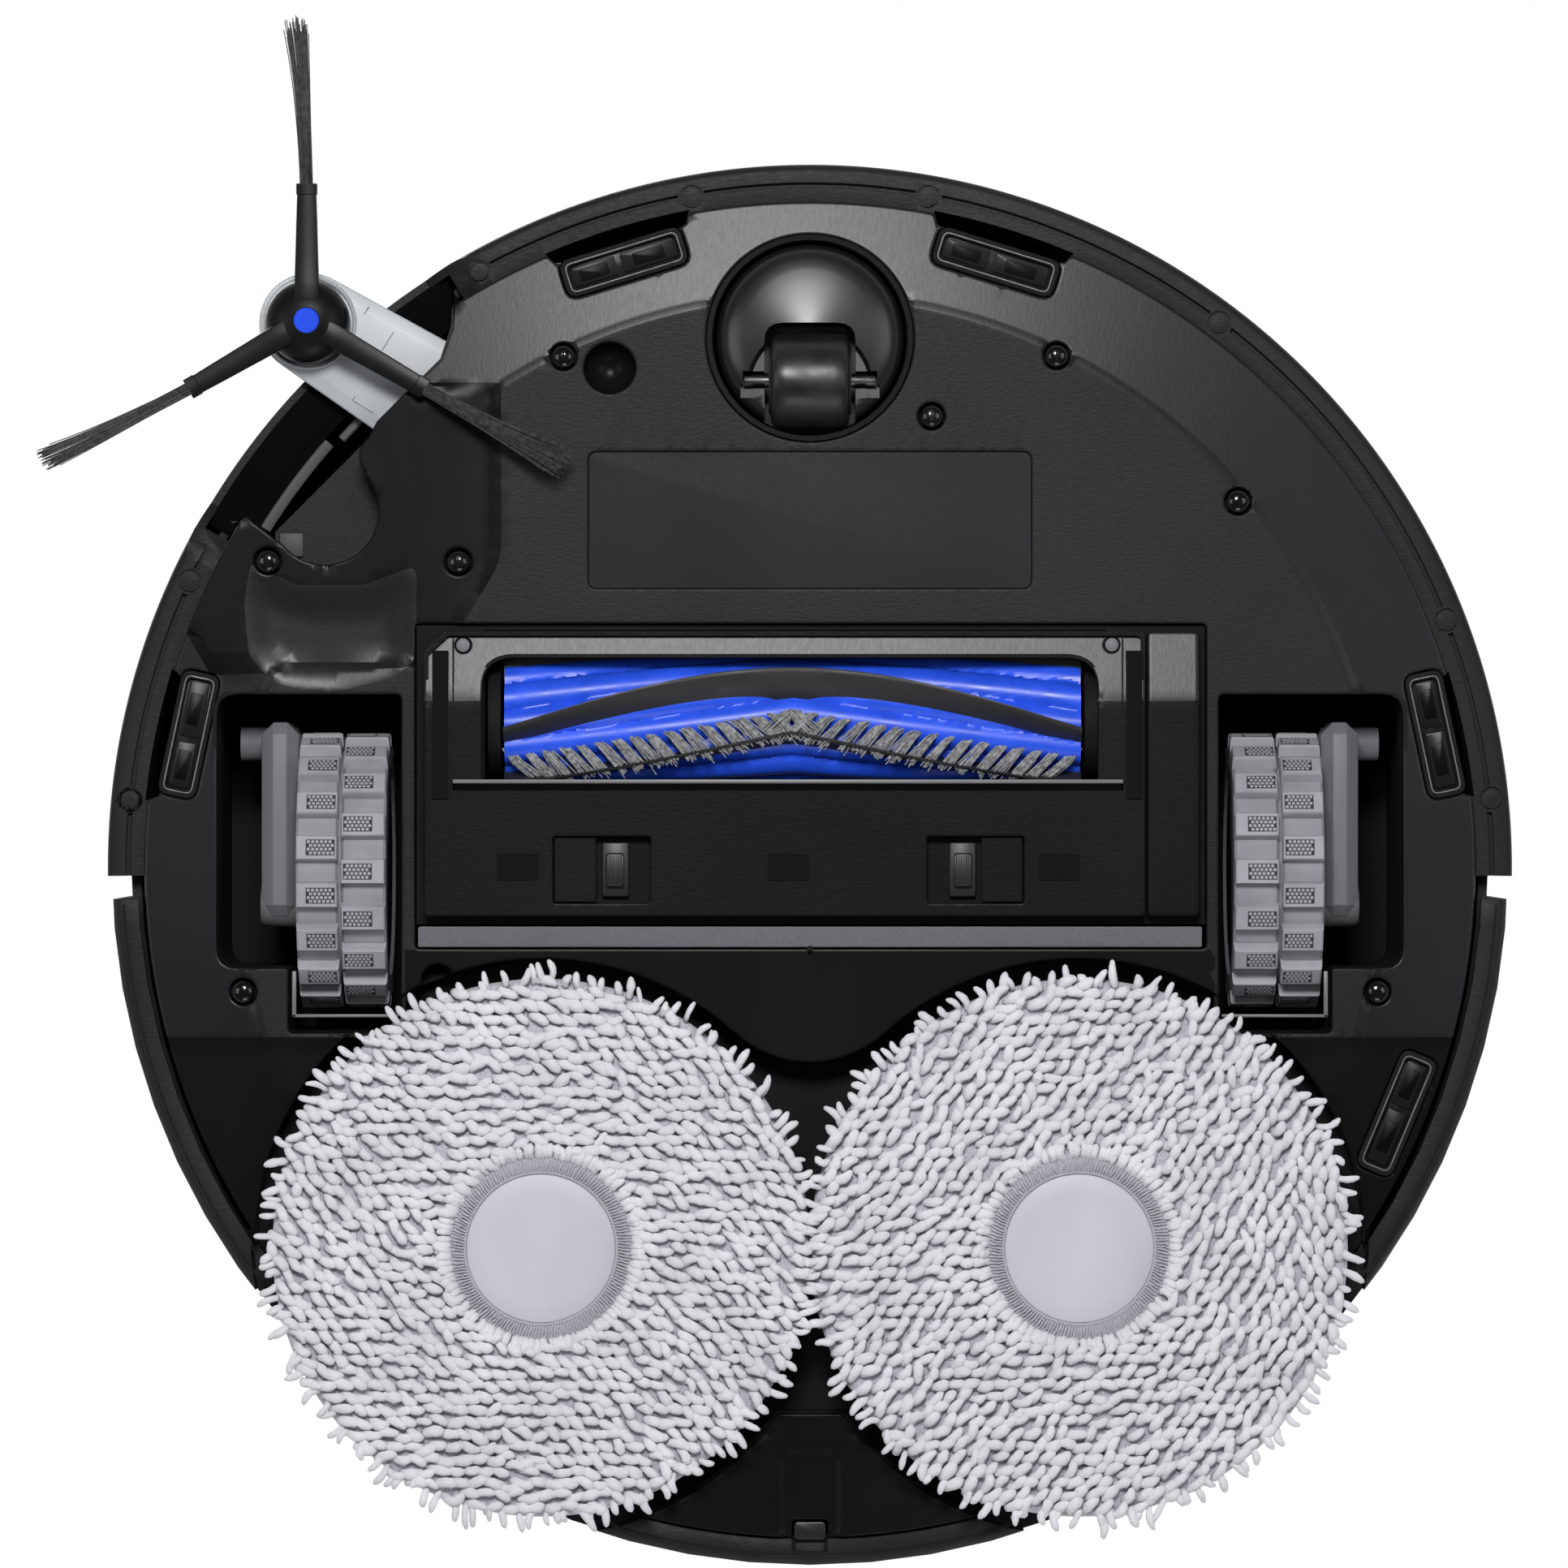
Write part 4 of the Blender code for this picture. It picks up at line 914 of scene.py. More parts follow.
def mop_pad(name, side):
    middle_xy = (side * MOP_X, MOP_Y)
    yarn = [moved(part, (*middle_xy, 0)) for part in (pile(side), fringe(side), collar())]
    base = lathe([(0, 8.8), (65.0, 8.8), (66.6, 8.0), (67.2, 6.4), (66.6, 4.6), (64.8, 3.9),
                  (24.0, 3.7), (22.9, 3.3), (22.2, 2.7), (21.0, 2.5), (0, 2.9)], middle_xy, 96)
    pad = make(f"{name}_pile", [base, *yarn], [MOP, MOP_BACK], f"{name}_mop",
               [f"{name}_mop_pad"], angle=60)
    # The base under the yarn takes the darker backing, which shows between the strands partly as painted
    # shade.
    finish = np.zeros(len(pad.data.polygons), np.int32)
    finish[:len(base[1])] = 1
    pad.data.polygons.foreach_set("material_index", finish)
    disc = lathe([(0, 2.9), (18.0, 2.9), (18.5, 2.7), (18.4, 2.25), (17.8, 2.02), (14.0, 1.95), (0, 1.9)],
                 middle_xy, 72)
    make(f"{name}_mop_disc", [disc], MOP_DISC, f"{name}_mop")
    make(f"{name}_mop_overlock", overlock(middle_xy), STITCH, f"{name}_mop", angle=60)


# ---- underside ------------------------------------------------------------------------------------
def bay_outline(grow=0.0):
    """The two mop circles, with a round fairing nose in front and a flat end behind."""
    radius = BAY_R + grow
    reach = MOP_Y - BAY_NOSE_Y
    nose_r = (reach ** 2 + MOP_X ** 2 - BAY_R ** 2) / (2 * (BAY_R - reach))
    nose_y = BAY_NOSE_Y - nose_r
    lean = math.degrees(math.atan2(MOP_Y - nose_y, MOP_X))
    rear = math.degrees(math.asin((BAY_REAR_Y + grow - MOP_Y) / radius))
    left = arc((-MOP_X, MOP_Y), radius, rear, 360 - lean, 96)
    nose = arc((0, nose_y), nose_r - grow, 180 - lean, lean, 24)
    right = arc((MOP_X, MOP_Y), radius, 180 + lean, 540 - rear, 96)
    return left + nose[1:-1] + right


def pocket_outline():
    """Room in the pan for the side brush, from its working place to its parked one."""
    parked = arc(PARKED, 13.5, -42, 140, 33)
    neck = arc((-107.5, -103.0), 5.4, -125, -222, 9)
    return [(-89.3, -145.0), (-89.9, -135.5), (-92.6, -127.3), (-100.8, -119.2), (-108.4, -111.6),
            *neck, *parked, (-141.1, -87.6), (-144.5, -86.0), (-149.0, -76.5), (-170.0, -85.0),
            (-165.0, -150.0), (-110.0, -170.0)]


def well_outline(side):
    corners = [(102.2, -43.3), (148.5, -43.3), (148.5, 25.3), (130.6, 25.3), (130.6, 41.6), (102.2, 41.6)]
    return rounded([(side * x, y) for x, y in corners], [1.5, 5, 5, 1.0, 1.5, 1.5])


def ramp_step(value):
    value = np.clip(value, 0, 1)
    return value * value * (3 - 2 * value)


def dent(points, outline, soft):
    """1 well inside an outline, 0 outside, with a smooth band of that width between."""
    result = np.zeros(len(points))
    hit = inside(points, outline)
    if hit.any():
        result[hit] = ramp_step(away(points[hit], outline) / soft)
    return result


SCOOP = (rounded([(-98.5, -75.5), (-98.5, -52.0), (-104.0, -47.5), (-120.0, -43.6), (-134.0, -45.8),
                  (-140.5, -53.0), (-141.6, -66.0), (-140.0, -76.0), (-128.0, -70.5), (-112.0, -70.5)],
                 [2, 6, 9, 12, 9, 9, 5, 1, 5, 5]))
LOBE = rounded([(-77.3, -76.6), (-77.3, -121.3), (-175.0, -121.3), (-175.0, -90.0), (-150.0, -48.0),
                (-98.0, -50.0), (-86.6, -61.3)], [16, 2, 2, 2, 2, 4, 10])
REAR_CORNERS = [[(side * 118.0, 42.6), (side * 180.0, 42.6), (side * 180.0, 132.0), (side * 118.0, 132.0)]
                for side in (-1, 1)]
RIDGE_R, RIDGE_Z = PAN_FLAT_R + 1.7, 0.62
LOBE_Z, LOBE_EDGE = 0.85, 1.8
SCOOP_DEPTH, SCOOP_EDGE = 1.35, 8.0
REAR_STEP, REAR_STEP_EDGE = 0.5, 0.7
CREASE_RADII = (PAN_FLAT_R - 0.8, PAN_FLAT_R, RIDGE_R, RIDGE_R + 0.8)
CUP, CUP_R = (-50.1, -124.9), 6.5
# Where the pan's rear begins to take the darker satin, which is painted shade.
SATIN_SHADE_FROM_Y = (20.5, 42.6)
RIM_SLOTS = ((-113.4, -100.4), (-79.3, -66.7), (-174.3, -162.7), (-17.0, -6.0))
RIM_SLOT_R = (163.3, 167.6)


def pan_height(x, y):
    """Underside of the pan: flat, a small ridge, then sloped to its edge, with a lobe and a scoop."""
    radius = np.hypot(x, y)
    z = PAN_Z + np.interp(radius, (PAN_FLAT_R, RIDGE_R, PAN_R), (0, RIDGE_Z, PAN_SLOPE))
    points = np.stack([x, y], -1)
    level = dent(points, LOBE, LOBE_EDGE)
    z = z * (1 - level) + (PAN_Z + LOBE_Z) * level
    z = z + SCOOP_DEPTH * dent(points, SCOOP, SCOOP_EDGE)
    for corner in REAR_CORNERS:
        z = z + REAR_STEP * dent(points, corner, REAR_STEP_EDGE)
    return z


def pan_z_at(x, y):
    return float(pan_height(np.array([x]), np.array([y]))[0])


def cup():
    """Blind round recess beside the caster, with a dished floor."""
    low, roof = PAN_Z + 0.6, PAN_Z + 9.5
    wall = [(CUP_R + 1.0, low), (CUP_R + 1.0, roof), (0, roof), (0, PAN_Z + 8.7)]
    bowl = [(CUP_R * math.sin(a), PAN_Z + 2.2 + CUP_R * math.cos(a))
            for a in np.radians((15, 30, 45, 60, 75, 88))]
    part = lathe([*wall, *bowl, (CUP_R, low)], CUP, 48, closed=True)
    make("pan_recess", [part], SATIN_SHADE, "chassis")


def underside_pan():
    circle = arc((0, 0), PAN_R, 0, 360, 361)[:-1]
    mouth = rectangle((-98.8, 99.2), (-60.9, 20.4), 1.2)
    rear = [(-MOP_X, BAY_REAR_Y - 10), (MOP_X, BAY_REAR_Y - 10), (MOP_X, BODY_R), (-MOP_X, BODY_R)]
    label = rectangle((-55.4, 55.4), (-103.9, -69.7), 2.2)
    holes = [bay_outline(), pocket_outline(), mouth, rear, label]
    holes += [well_outline(side) for _, side in SIDES]
    holes.append(arc((0, CASTER_Y), 26.1, 0, 360, 97)[:-1])
    holes.append(arc(CUP, CUP_R, 0, 360, 37)[:-1])
    holes.append(arc((-93.1, 28.5), 4.2, 0, 360, 25)[:-1])
    holes += [arc(place_xy, 3.5, 0, 360, 25)[:-1] for place_xy in SCREWS]
    holes += [cliff_outline(i, 1.5) for i in range(len(CLIFFS))]
    holes += [rim_slot(*place_on_rim) for place_on_rim in RIM_SLOTS]
    creases = [arc((0, 0), radius, 0, 360, 241)[:-1] for radius in CREASE_RADII]
    creases += [LOBE, SCOOP, *REAR_CORNERS]
    part = plate(circle, holes, pan_height, PAN_T, 0.5, creases=creases)
    made = make("underside_pan", [part], [SHELL, SLOPE, SATIN_SHADE], "chassis",
                ["chassis_pan"], angle=24)
    middles = np.array([part[0][list(face)].mean(axis=0)[:2] for face in part[1]])
    # Material 1 is the smoother slope; material 2, the darker satin, paints the shade of the lobe and of the
    # pan's rear.
    finish = np.where(np.hypot(*middles.T) > PAN_FLAT_R, 1, 0)
    finish[inside(middles, LOBE)] = 2
    finish[inside(middles, SCOOP)] = 1
    finish[middles[:, 1] > SATIN_SHADE_FROM_Y[1]] = 2
    finish[(middles[:, 1] > SATIN_SHADE_FROM_Y[0]) & (np.abs(middles[:, 0]) < 101.0)] = 2
    made.data.polygons.foreach_set("material_index", finish.astype(np.int32))


def rim_slot(start, end):
    """Gap between the pan and the bumper, with rounded ends."""
    low_r, high_r = RIM_SLOT_R
    ease = math.degrees(2.4 / low_r)
    inner = arc((0, 0), low_r, start + 1.6 * ease, end - 1.6 * ease, 13)
    outer = arc((0, 0), high_r, end, start, 13)
    bends = [arc((0, 0), low_r + 1.0, turn, turn, 1) for turn in (start + 0.6 * ease, end - 0.6 * ease)]
    return bends[0] + inner + bends[1] + outer


def cliff_outline(i, grow):
    """Window i with rounded ends, lying along the rim."""
    x, y = CLIFFS[i]
    half_l, half_w = 14.7 + grow, 3.65 + grow
    turn = math.atan2(y, x) + math.pi / 2
    cos, sin = math.cos(turn), math.sin(turn)
    outline = rectangle((-half_l, half_l), (-half_w, half_w), 1.8 + grow)
    return [(x + cos * a - sin * b, y + sin * a + cos * b) for a, b in outline]


def thin_plate(outline, z0, z1, bevel=0.2):
    return bevelled(prism(outline, z0, z1), bevel)


def wall_ring(outline, thick, z0, z1, gaps=0):
    """A wall that follows the outside of an outline; the last few runs can be left open."""
    ring, left = normals(outline)
    area = sum(a[0] * b[1] - b[0] * a[1] for a, b in zip(outline, outline[1:] + outline[:1]))
    outside = ring - left * (thick if area > 0 else -thick)
    n = len(ring)
    points = [(*p, z) for loop, z in ((ring, z0), (ring, z1), (outside, z1), (outside, z0)) for p in loop]
    faces = []
    for level in range(4):
        after = (level + 1) % 4
        for i in range(n - gaps):
            j = (i + 1) % n
            faces.append((level * n + i, level * n + j, after * n + j, after * n + i))
    if gaps:
        faces += [tuple(level * n + end for level in range(4)) for end in (0, n - gaps)]
    return points, faces


def cross_head(radius, dome, steps=28):
    """Screw head that faces down, with its crown at z = -dome and a cross cut in it."""
    curve = [(0, 0.8), (radius, 0.8), (radius, 0.15)]
    curve += [(radius * math.cos(a), 0.1 - dome * math.sin(a)) for a in np.radians((15, 35, 55, 75))]
    head = lathe([*curve, (0, 0.1 - dome)], steps=steps)
    long, wide = radius * 0.42, radius * 0.08
    top = 0.1 - dome
    bars = [box((-long, long), (-wide, wide), (top - 1, top + 0.3)),
            box((-wide, wide), (-long, long), (top - 1, top + 0.3))]
    return carve(head, bars)


def pan_screws():
    """Domed screws, each in a round sunk seat whose darker black adds painted shade round the head."""
    head = cross_head(2.75, 1.3)
    for i, (x, y) in enumerate(SCREWS):
        z = pan_z_at(x, y)
        seat = lathe([(3.6, z + 0.4), (3.6, z + 3.0), (0, z + 3.0), (0, z + 2.4), (3.0, z + 2.4),
                      (3.15, z + 0.4)], (x, y), 32)
        make(f"screw_{i + 1}", [moved(head, (x, y, z + 0.35))], GLOSS, "chassis",
             [f"pan_screw_{i + 1}"], 30)
        make(f"screw_cup_{i + 1}", [seat], DEEP_AND_SHADE, "chassis")


def sensor_windows():
    """Downward sensors: a raised dark frame, a light grey hairline of painted highlight on it, and two dark
    windows in it.
    """
    for i, (x, y) in enumerate(CLIFFS):
        z = pan_z_at(x, y)
        turn = math.degrees(math.atan2(y, x)) + 90

        def at_rim(parts):
            return [moved(turned_z(part, turn), (x, y, 0)) for part in parts]

        outer = rectangle((-15.9, 15.9), (-4.9, 4.9), 2.8)
        hole = rectangle((-13.9, 13.9), (-3.0, 3.0), 1.4)
        rim = plate(outer, [hole], lambda a, b: np.full(len(a), z + 0.1), 1.6, 0.45, 1.0, 2.0)
        line = [(a, b, z + 0.02) for a, b in fine(rectangle((-14.5, 14.5), (-3.6, 3.6), 1.6), 1.0)]
        lens = [thin_plate(rectangle(ends, (-2.5, 2.5), 0.8), z + 1.0, z + 1.9, 0.25)
                for ends in ((-13.4, -2.0), (-0.6, 13.4))]
        eyes = [thin_plate(rectangle(ends, (-1.6, 1.6), 0.5), z + 0.85, z + 1.2, 0.12)
                for ends in ((-11.5, -4.0), (2.4, 10.5))]
        back = thin_plate(rectangle((-15, 15), (-4.2, 4.2), 2), z + 1.7, z + 2.6, 0.1)
        # Light grey line on the frame: painted highlight.
        hairline = tube([*line, line[0]], 0.19, 6)
        name = f"cliff_sensor_{i + 1}"
        make(f"{name}_frame", at_rim([rim]), DEEP_AND_SHADE, "chassis")
        make(f"{name}_line", at_rim([hairline]), RIM_HIGHLIGHT, "chassis", angle=60)
        make(f"{name}_window", at_rim([*lens, back]), LENS, "chassis",
             [f"cliff_window_{i + 1}"])
        make(f"{name}_eyes", at_rim(eyes), LENS_EYE, "chassis")


def label():
    outline = rectangle((-55.3, 55.3), (-103.8, -69.8), 2.1)
    make("label_area", [thin_plate(outline, PAN_Z + 0.12, PAN_Z + 1.4, 0.12)], LABEL_BLACK, "chassis",
         ["label_plate"])


def wells():
    """Dark liners of the wheel wells, whose darker black is partly painted shade, and a light grey strip of
    painted highlight along the well's edge by each wheel's tail.
    """
    join, roof = 16.0, 72.0
    for name, side in SIDES:
        outline = well_outline(side)
        deep = [(x, y - 2.6 if y < -30 else y) for x, y in outline]
        lining = [wall_ring(outline, 1.0, 11.8, join + 0.2), wall_ring(deep, 1.0, join, roof)]
        make(f"{name}_well", [*lining, prism(deep, roof, roof + 1.0)], DEEP_AND_SHADE, "chassis")
        # Light grey strips along the well's edge: painted highlight.
        edge = [box(sided(side, 128.55, 129.6), (26.0, 37.6), (10.3, 12.0), 0.2),
                box(sided(side, 103.0, 129.6), (36.8, 37.6), (10.3, 12.0), 0.2)]
        make(f"{name}_well_edge_highlight", edge, EDGE_HIGHLIGHT, "chassis")


def pocket():
    """Roof and rails over the room that the side brush is drawn into, and black sheets of painted shade over
    the arm's slot.
    """
    roof = [(-92.0, -127.0), (-134.6, -84.3), *arc(PARKED, 17.0, 140, -50, 20), (-92.0, -118.0)]
    rib = lathe([(159.9, 24.0), (160.5, 23.7), (162.3, 23.8), (162.6, 24.1), (162.6, 24.8), (159.9, 24.8)],
                steps=40, start=-148.2, end=-138.6, closed=True)
    stub = lathe([(158.6, 24.0), (159.0, 23.7), (160.2, 23.7), (160.6, 24.0), (160.6, 24.8), (158.6, 24.8)],
                 steps=12, start=-137.6, end=-134.6, closed=True)
    skirt_wall = wall_ring(pocket_outline()[:-4], 0.8, 12.4, 16.6, 1)
    post = box((-133.5, -127.5), (-84.0, -78.0), (23.7, 24.8), 0.4)
    make("brush_pocket", [prism(roof, 24.8, 26.2), skirt_wall], POCKET, "chassis")
    make("brush_pocket_rails", [rib, stub, post], RAIL_GREY, "chassis")
    # Two black sheets over the arm's slot, one on the bumper and one on the chassis: painted shade where the
    # slot opens into the body.
    for name, body, radii, heights in (("arm_slot_outer_shade", "bumper", (165.0, 174.4), (24.1, 24.5)),
                                       ("arm_slot_inner_shade", "chassis", (162.7, 165.6), (24.53, 24.6))):
        ring = lathe([(radii[0], heights[0]), (radii[1], heights[0]), (radii[1], heights[1]),
                      (radii[0], heights[1])], steps=60, start=-150.3, end=-121.8, closed=True)
        make(name, [ring], SHADE_BLACK, body)


# ---- rim ------------------------------------------------------------------------------------------
BUMPER_SCREWS = ((-29.7, -168.1), (29.7, -168.1), (-83.1, -149.3), (102.7, -136.5), (-155.6, -71.7),
                 (159.7, -61.9), (-170.7, -16.9), (171.1, -17.1))
SLOT_FLARE = ((4.6, 10.0), (4.0, 17.25), (2.9, 17.9), (0.6, 21.0), (-0.6, 24.0), (-0.8, 24.6))


def bumper():
    """C-shaped bumper with a grooved lower lip, a slot for the side-brush arm and two parting lines."""
    profile = [(174.8, 81.5), (175.5, 81.3), (176.0, 80.8), (176.4, 79.7), (176.4, 69.2), (176.1, 68.9),
               (176.1, 68.4), (176.4, 68.1), (176.4, 27.4), (176.1, 27.1), (176.1, 26.6), (176.4, 26.3),
               (176.4, 19.4), (176.25, 18.6), (175.8, 17.8), (175.1, 17.35), (174.3, 17.2), (171.85, 17.2),
               (171.7, 17.35), (171.7, 18.9), (170.6, 18.9), (170.6, 17.35), (170.45, 17.2), (165.8, 17.2),
               (165.3, 17.35), (165.0, 17.8), (165.0, 20.2), (174.2, 20.2), (174.2, 81.0)]
    shell = lathe(profile, steps=240, start=-180.75, end=0.75, closed=True)
    slot = loft([[(x, y, z) for x, y in arc((0, 0), 160, -149.5 - ease, -122.5 + ease, 12)
                  + arc((0, 0), 186, -122.5 + ease, -149.5 - ease, 12)] for ease, z in SLOT_FLARE])
    bosses = [lathe([(0, 17.2), (3.4, 17.2), (3.4, 20.0), (0, 20.0)], spot, 28) for spot in BUMPER_SCREWS]
    rings = [lathe([(2.5, 10), (3.0, 10), (3.0, 17.9), (2.5, 17.9)], spot, 28, closed=True)
             for spot in BUMPER_SCREWS]
    gaps = [prism(rim_slot(*at), 10, 22.0) for at in RIM_SLOTS]
    shell = carve(shell, [slot, *rings, *gaps], bosses)
    make("bumper", [shell], SHELL, "bumper", ["bumper_shell"], 32)
    head = cross_head(2.25, 0.12, 20)
    heads = [moved(head, (x, y, 17.12)) for x, y in BUMPER_SCREWS]
    make("bumper_screws", heads, SHELL, "bumper")
    eye = lathe([(175.2, 61.0), (176.0, 61.0), (176.55, 60.4), (176.55, 41.6), (176.0, 41.0), (175.2, 41.0)],
                steps=60, start=-117, end=-63, closed=True)
    make("front_sensor_window", [eye], LENS, "bumper")


def skirt():
    """A soft seam on the rear skirt."""
    seam = lathe([(171.9, 15.05), (172.3, 14.85), (172.7, 15.05), (172.3, 15.3)], steps=200, start=3.2,
                 end=176.8, closed=True)
    make("skirt_seam", [seam], DEEP_AND_SHADE, "chassis", angle=80)


def rear_panel():
    outer = arc((0, 0), 168.0, 60, 120, 61) + [(0, 100.0)]
    channel = rectangle((-7.4, 7.4), (146.0, 175.0), 1.5)
    port = rectangle((-4.5, 4.5), (163.6, 169.2), 1.2)
    tab = rounded([(-8.3, 138.6), (8.3, 138.6), (18.5, 147.5), (30.0, 175.0), (-30.0, 175.0), (-18.5, 147.5)],
                  [2, 2, 6, 1, 1, 6])

    def height(x, y):
        points = np.stack([x, y], -1)
        edge = np.abs(away(points, tab) - 0.5)
        groove = 0.35 * np.clip(1 - edge / 0.5, 0, 1) * inside(points, tab)
        return 13.0 + 0.9 * dent(points, channel, 0.7) + groove

    body = plate(outer, [bay_outline(0.3), port], height, 2.0, 0.5, 1.6, 1.5)
    make("rear_fairing", [body], SATIN_SHADE, "chassis", ["rear_panel"], 50)
    plug = thin_plate(rectangle((-3.9, 3.9), (164.2, 168.6), 1.0), 14.3, 15.0, 0.2)
    make("drain_port", [plug], FRAME_GREY, "chassis")


# ---- roller brush ---------------------------------------------------------------------------------
TWIST = 45.0
HALF = (ROLLER_X1 - ROLLER_X0) / 2
FIN_ROOT_R = 13.6
BLADE_SWEEP = 1.95
HAIR_LEAN = 7.6


def around(x, theta, radius, aside=0.0):
    """Point on the roller: theta in degrees from straight down towards the front."""
    a = np.radians(theta)
    y = ROLLER_Y - radius * np.sin(a) - aside * np.cos(a)
    z = ROLLER_Z - radius * np.cos(a) + aside * np.sin(a)
    return np.stack(np.broadcast_arrays(x, y, z), -1)


def lag(x):
    """How far behind the middle, in degrees, the chevron runs at x."""
    return -TWIST * np.abs(x - ROLLER_MID) / HALF


def roller_core():
    xs = np.linspace(ROLLER_X0 + 0.6, ROLLER_X1 - 0.6, 81)
    turns = np.arange(0, 360, 2.5)
    rings = []
    for x in xs:
        flute = np.abs(np.sin(np.radians((turns - lag(x) - 22) * 6)))
        radius = 14.1 + 1.9 * flute ** 0.6
        rings.append(around(x, turns, radius))
    return loft(rings)


def eased_lag(x, ease):
    """The chevron's lag with its point rounded off."""
    share = abs(x - ROLLER_MID) / HALF
    return -TWIST * (math.hypot(share, ease) - ease) / (math.hypot(1, ease) - ease)


def shortfall(x):
    """How much shorter, as a share, the fins and hairs are near the rounded corners of the mouth."""
    return 0.26 * np.clip(1 - min(x - ROLLER_X0, ROLLER_X1 - x) / 9.0, 0, 1)


def roller_blade(start, ease):
    """Rubber fin along the chevron, eased round its middle: thick root, thin swept tip."""
    xs = np.linspace(ROLLER_X0 + 0.4, ROLLER_X1 - 0.4, 73)
    section = ((-1.5, FIN_ROOT_R), (-1.15, 16.0), (-0.75, 18.4), (-0.55, 20.3), (-0.2, 20.85), (0.2, 20.85),
               (0.5, 20.3), (0.7, 18.4), (1.1, 16.0), (1.5, FIN_ROOT_R))
    rings = []
    for x in xs:
        keep = 1 - shortfall(x)
        turn = start + eased_lag(x, ease)
        ring = []
        for aside, r in section:
            out = r - FIN_ROOT_R
            ring.append(around(x, turn + out * BLADE_SWEEP, FIN_ROOT_R + out * keep, aside))
        rings.append(ring)
    return loft(rings)


def roller_hairs(start):
    """Tufts of stiff hair that lean towards the middle of the roller."""
    parts = []
    reach = np.arange(2.6, HALF - 1.2, 4.3)
    for x in (*(ROLLER_MID - reach), *(ROLLER_MID + reach)):
        lean = HAIR_LEAN if x < ROLLER_MID else -HAIR_LEAN
        turn = start + lag(x)
        for _ in range(26):
            spread_x, spread_t = RNG.normal(0, 0.55), RNG.normal(0, 2.6)
            root = x + RNG.uniform(-1.2, 1.2)
            tip_r = RNG.uniform(20.0, 20.7) - 7.3 * shortfall(x)
            path = [around(root, turn, FIN_ROOT_R),
                    around(root + 0.4 * lean + 0.5 * spread_x, turn + 0.5 * spread_t - 5, 17.8),
                    around(root + lean + spread_x, turn + spread_t - 19, tip_r)]
            parts.append(tube(path, (0.21, 0.19, 0.13), 4))
    return parts


def roller():
    make("roller_core", [roller_core()], BLUE, "roller_brush", ["brush_core"], 50)
    blades, hairs = [], []
    for turn in (0, 120, 240):
        blades += [roller_blade(23.5 + turn, 0.5), roller_blade(-23.5 + turn, 0.02)]
        hairs += roller_hairs(11 + turn)
    make("roller_blades", blades, FIN_RUBBER, "roller_brush", angle=50)
    make("roller_hairs", hairs, ROLLER_HAIR, "roller_brush", angle=60)


# ---- roller cover -----------------------------------------------------------------------------
BAND = [(-120.0, -80.0), (120.0, -80.0), (120.0, -41.5), (-120.0, -41.5)]
PEGS = ((-86.7, -55.5), (75.4, -55.6))


def cover_height(x, y):
    """Underside of the cover: its front band rises forward. The dark groove behind the mouth is not shaped
    here; it is a black strip of painted shade made in cover().
    """
    return 5.6 + np.interp(y, (-59.1, -42.5, -40.5), (2.75, 0.12, 0.0))


def smooth_band(obj, part):
    """Gives the sloped front of the suction head its smoother finish."""
    middles = np.array([np.asarray(part[0])[list(face)].mean(axis=0)[:2] for face in part[1]])
    finish = np.zeros(len(obj.data.polygons), np.int32)
    finish[:len(middles)] = inside(middles, BAND)
    obj.data.polygons.foreach_set("material_index", finish)


def cover():
    """The removable cover plate, its wall, the wall of its mouth, a light grey strip of painted highlight
    along the mouth's rear edge and a black strip of painted shade behind it.
    """
    outer = rounded([(-96.4, -54.1), (-91.4, -59.1), (83.7, -59.1), (83.7, 12.2), (-96.4, 12.2)],
                    [0.8, 0.8, 1.2, 1.2, 1.2])
    mouth = rounded([(-81.9, -52.4), (71.9, -52.4), (71.9, -21.9), (-81.9, -21.9)], [8, 8, 0.8, 0.8], 9)
    windows = [rectangle((-64.2, -39.9), (-7.7, 9.0), 0.8), rectangle((29.3, 53.4), (-7.7, 9.0), 0.8)]
    pins = [arc(spot, 1.9, 0, 360, 21)[:-1] for spot in PEGS]
    body = plate(outer, [mouth, *windows, *pins], cover_height, 1.0, 0.4, 1.8, 2.6, [BAND])
    rim = wall_ring([(x * 0.9875 - 0.08, (y + 23.4) * 0.965 - 23.4) for x, y in outer], 1.1, 6.4, 11.7)
    made = make("roller_cover", [body, rim], [COVER_BLACK, SLOPE], "roller_cover",
                ["brush_cover"], 40)
    smooth_band(made, body)
    # Light grey strip along the mouth's rear edge: painted highlight.
    bar = box((-89.2, 78.2), (-21.95, -20.95), (5.15, 6.6), 0.2)
    make("mouth_edge_highlight", [bar], EDGE_HIGHLIGHT, "roller_cover")
    # Black strip behind the mouth's rear edge: painted shade of a groove.
    groove = box((-89.2, 78.2), (-20.95, -19.2), (5.45, 6.4))
    make("mouth_groove_shade", [groove], SHADE_BLACK, "roller_cover")
    make("mouth_wall", [wall_ring(mouth, 0.9, 6.9, 8.2)], DEEP_AND_SHADE, "roller_cover")


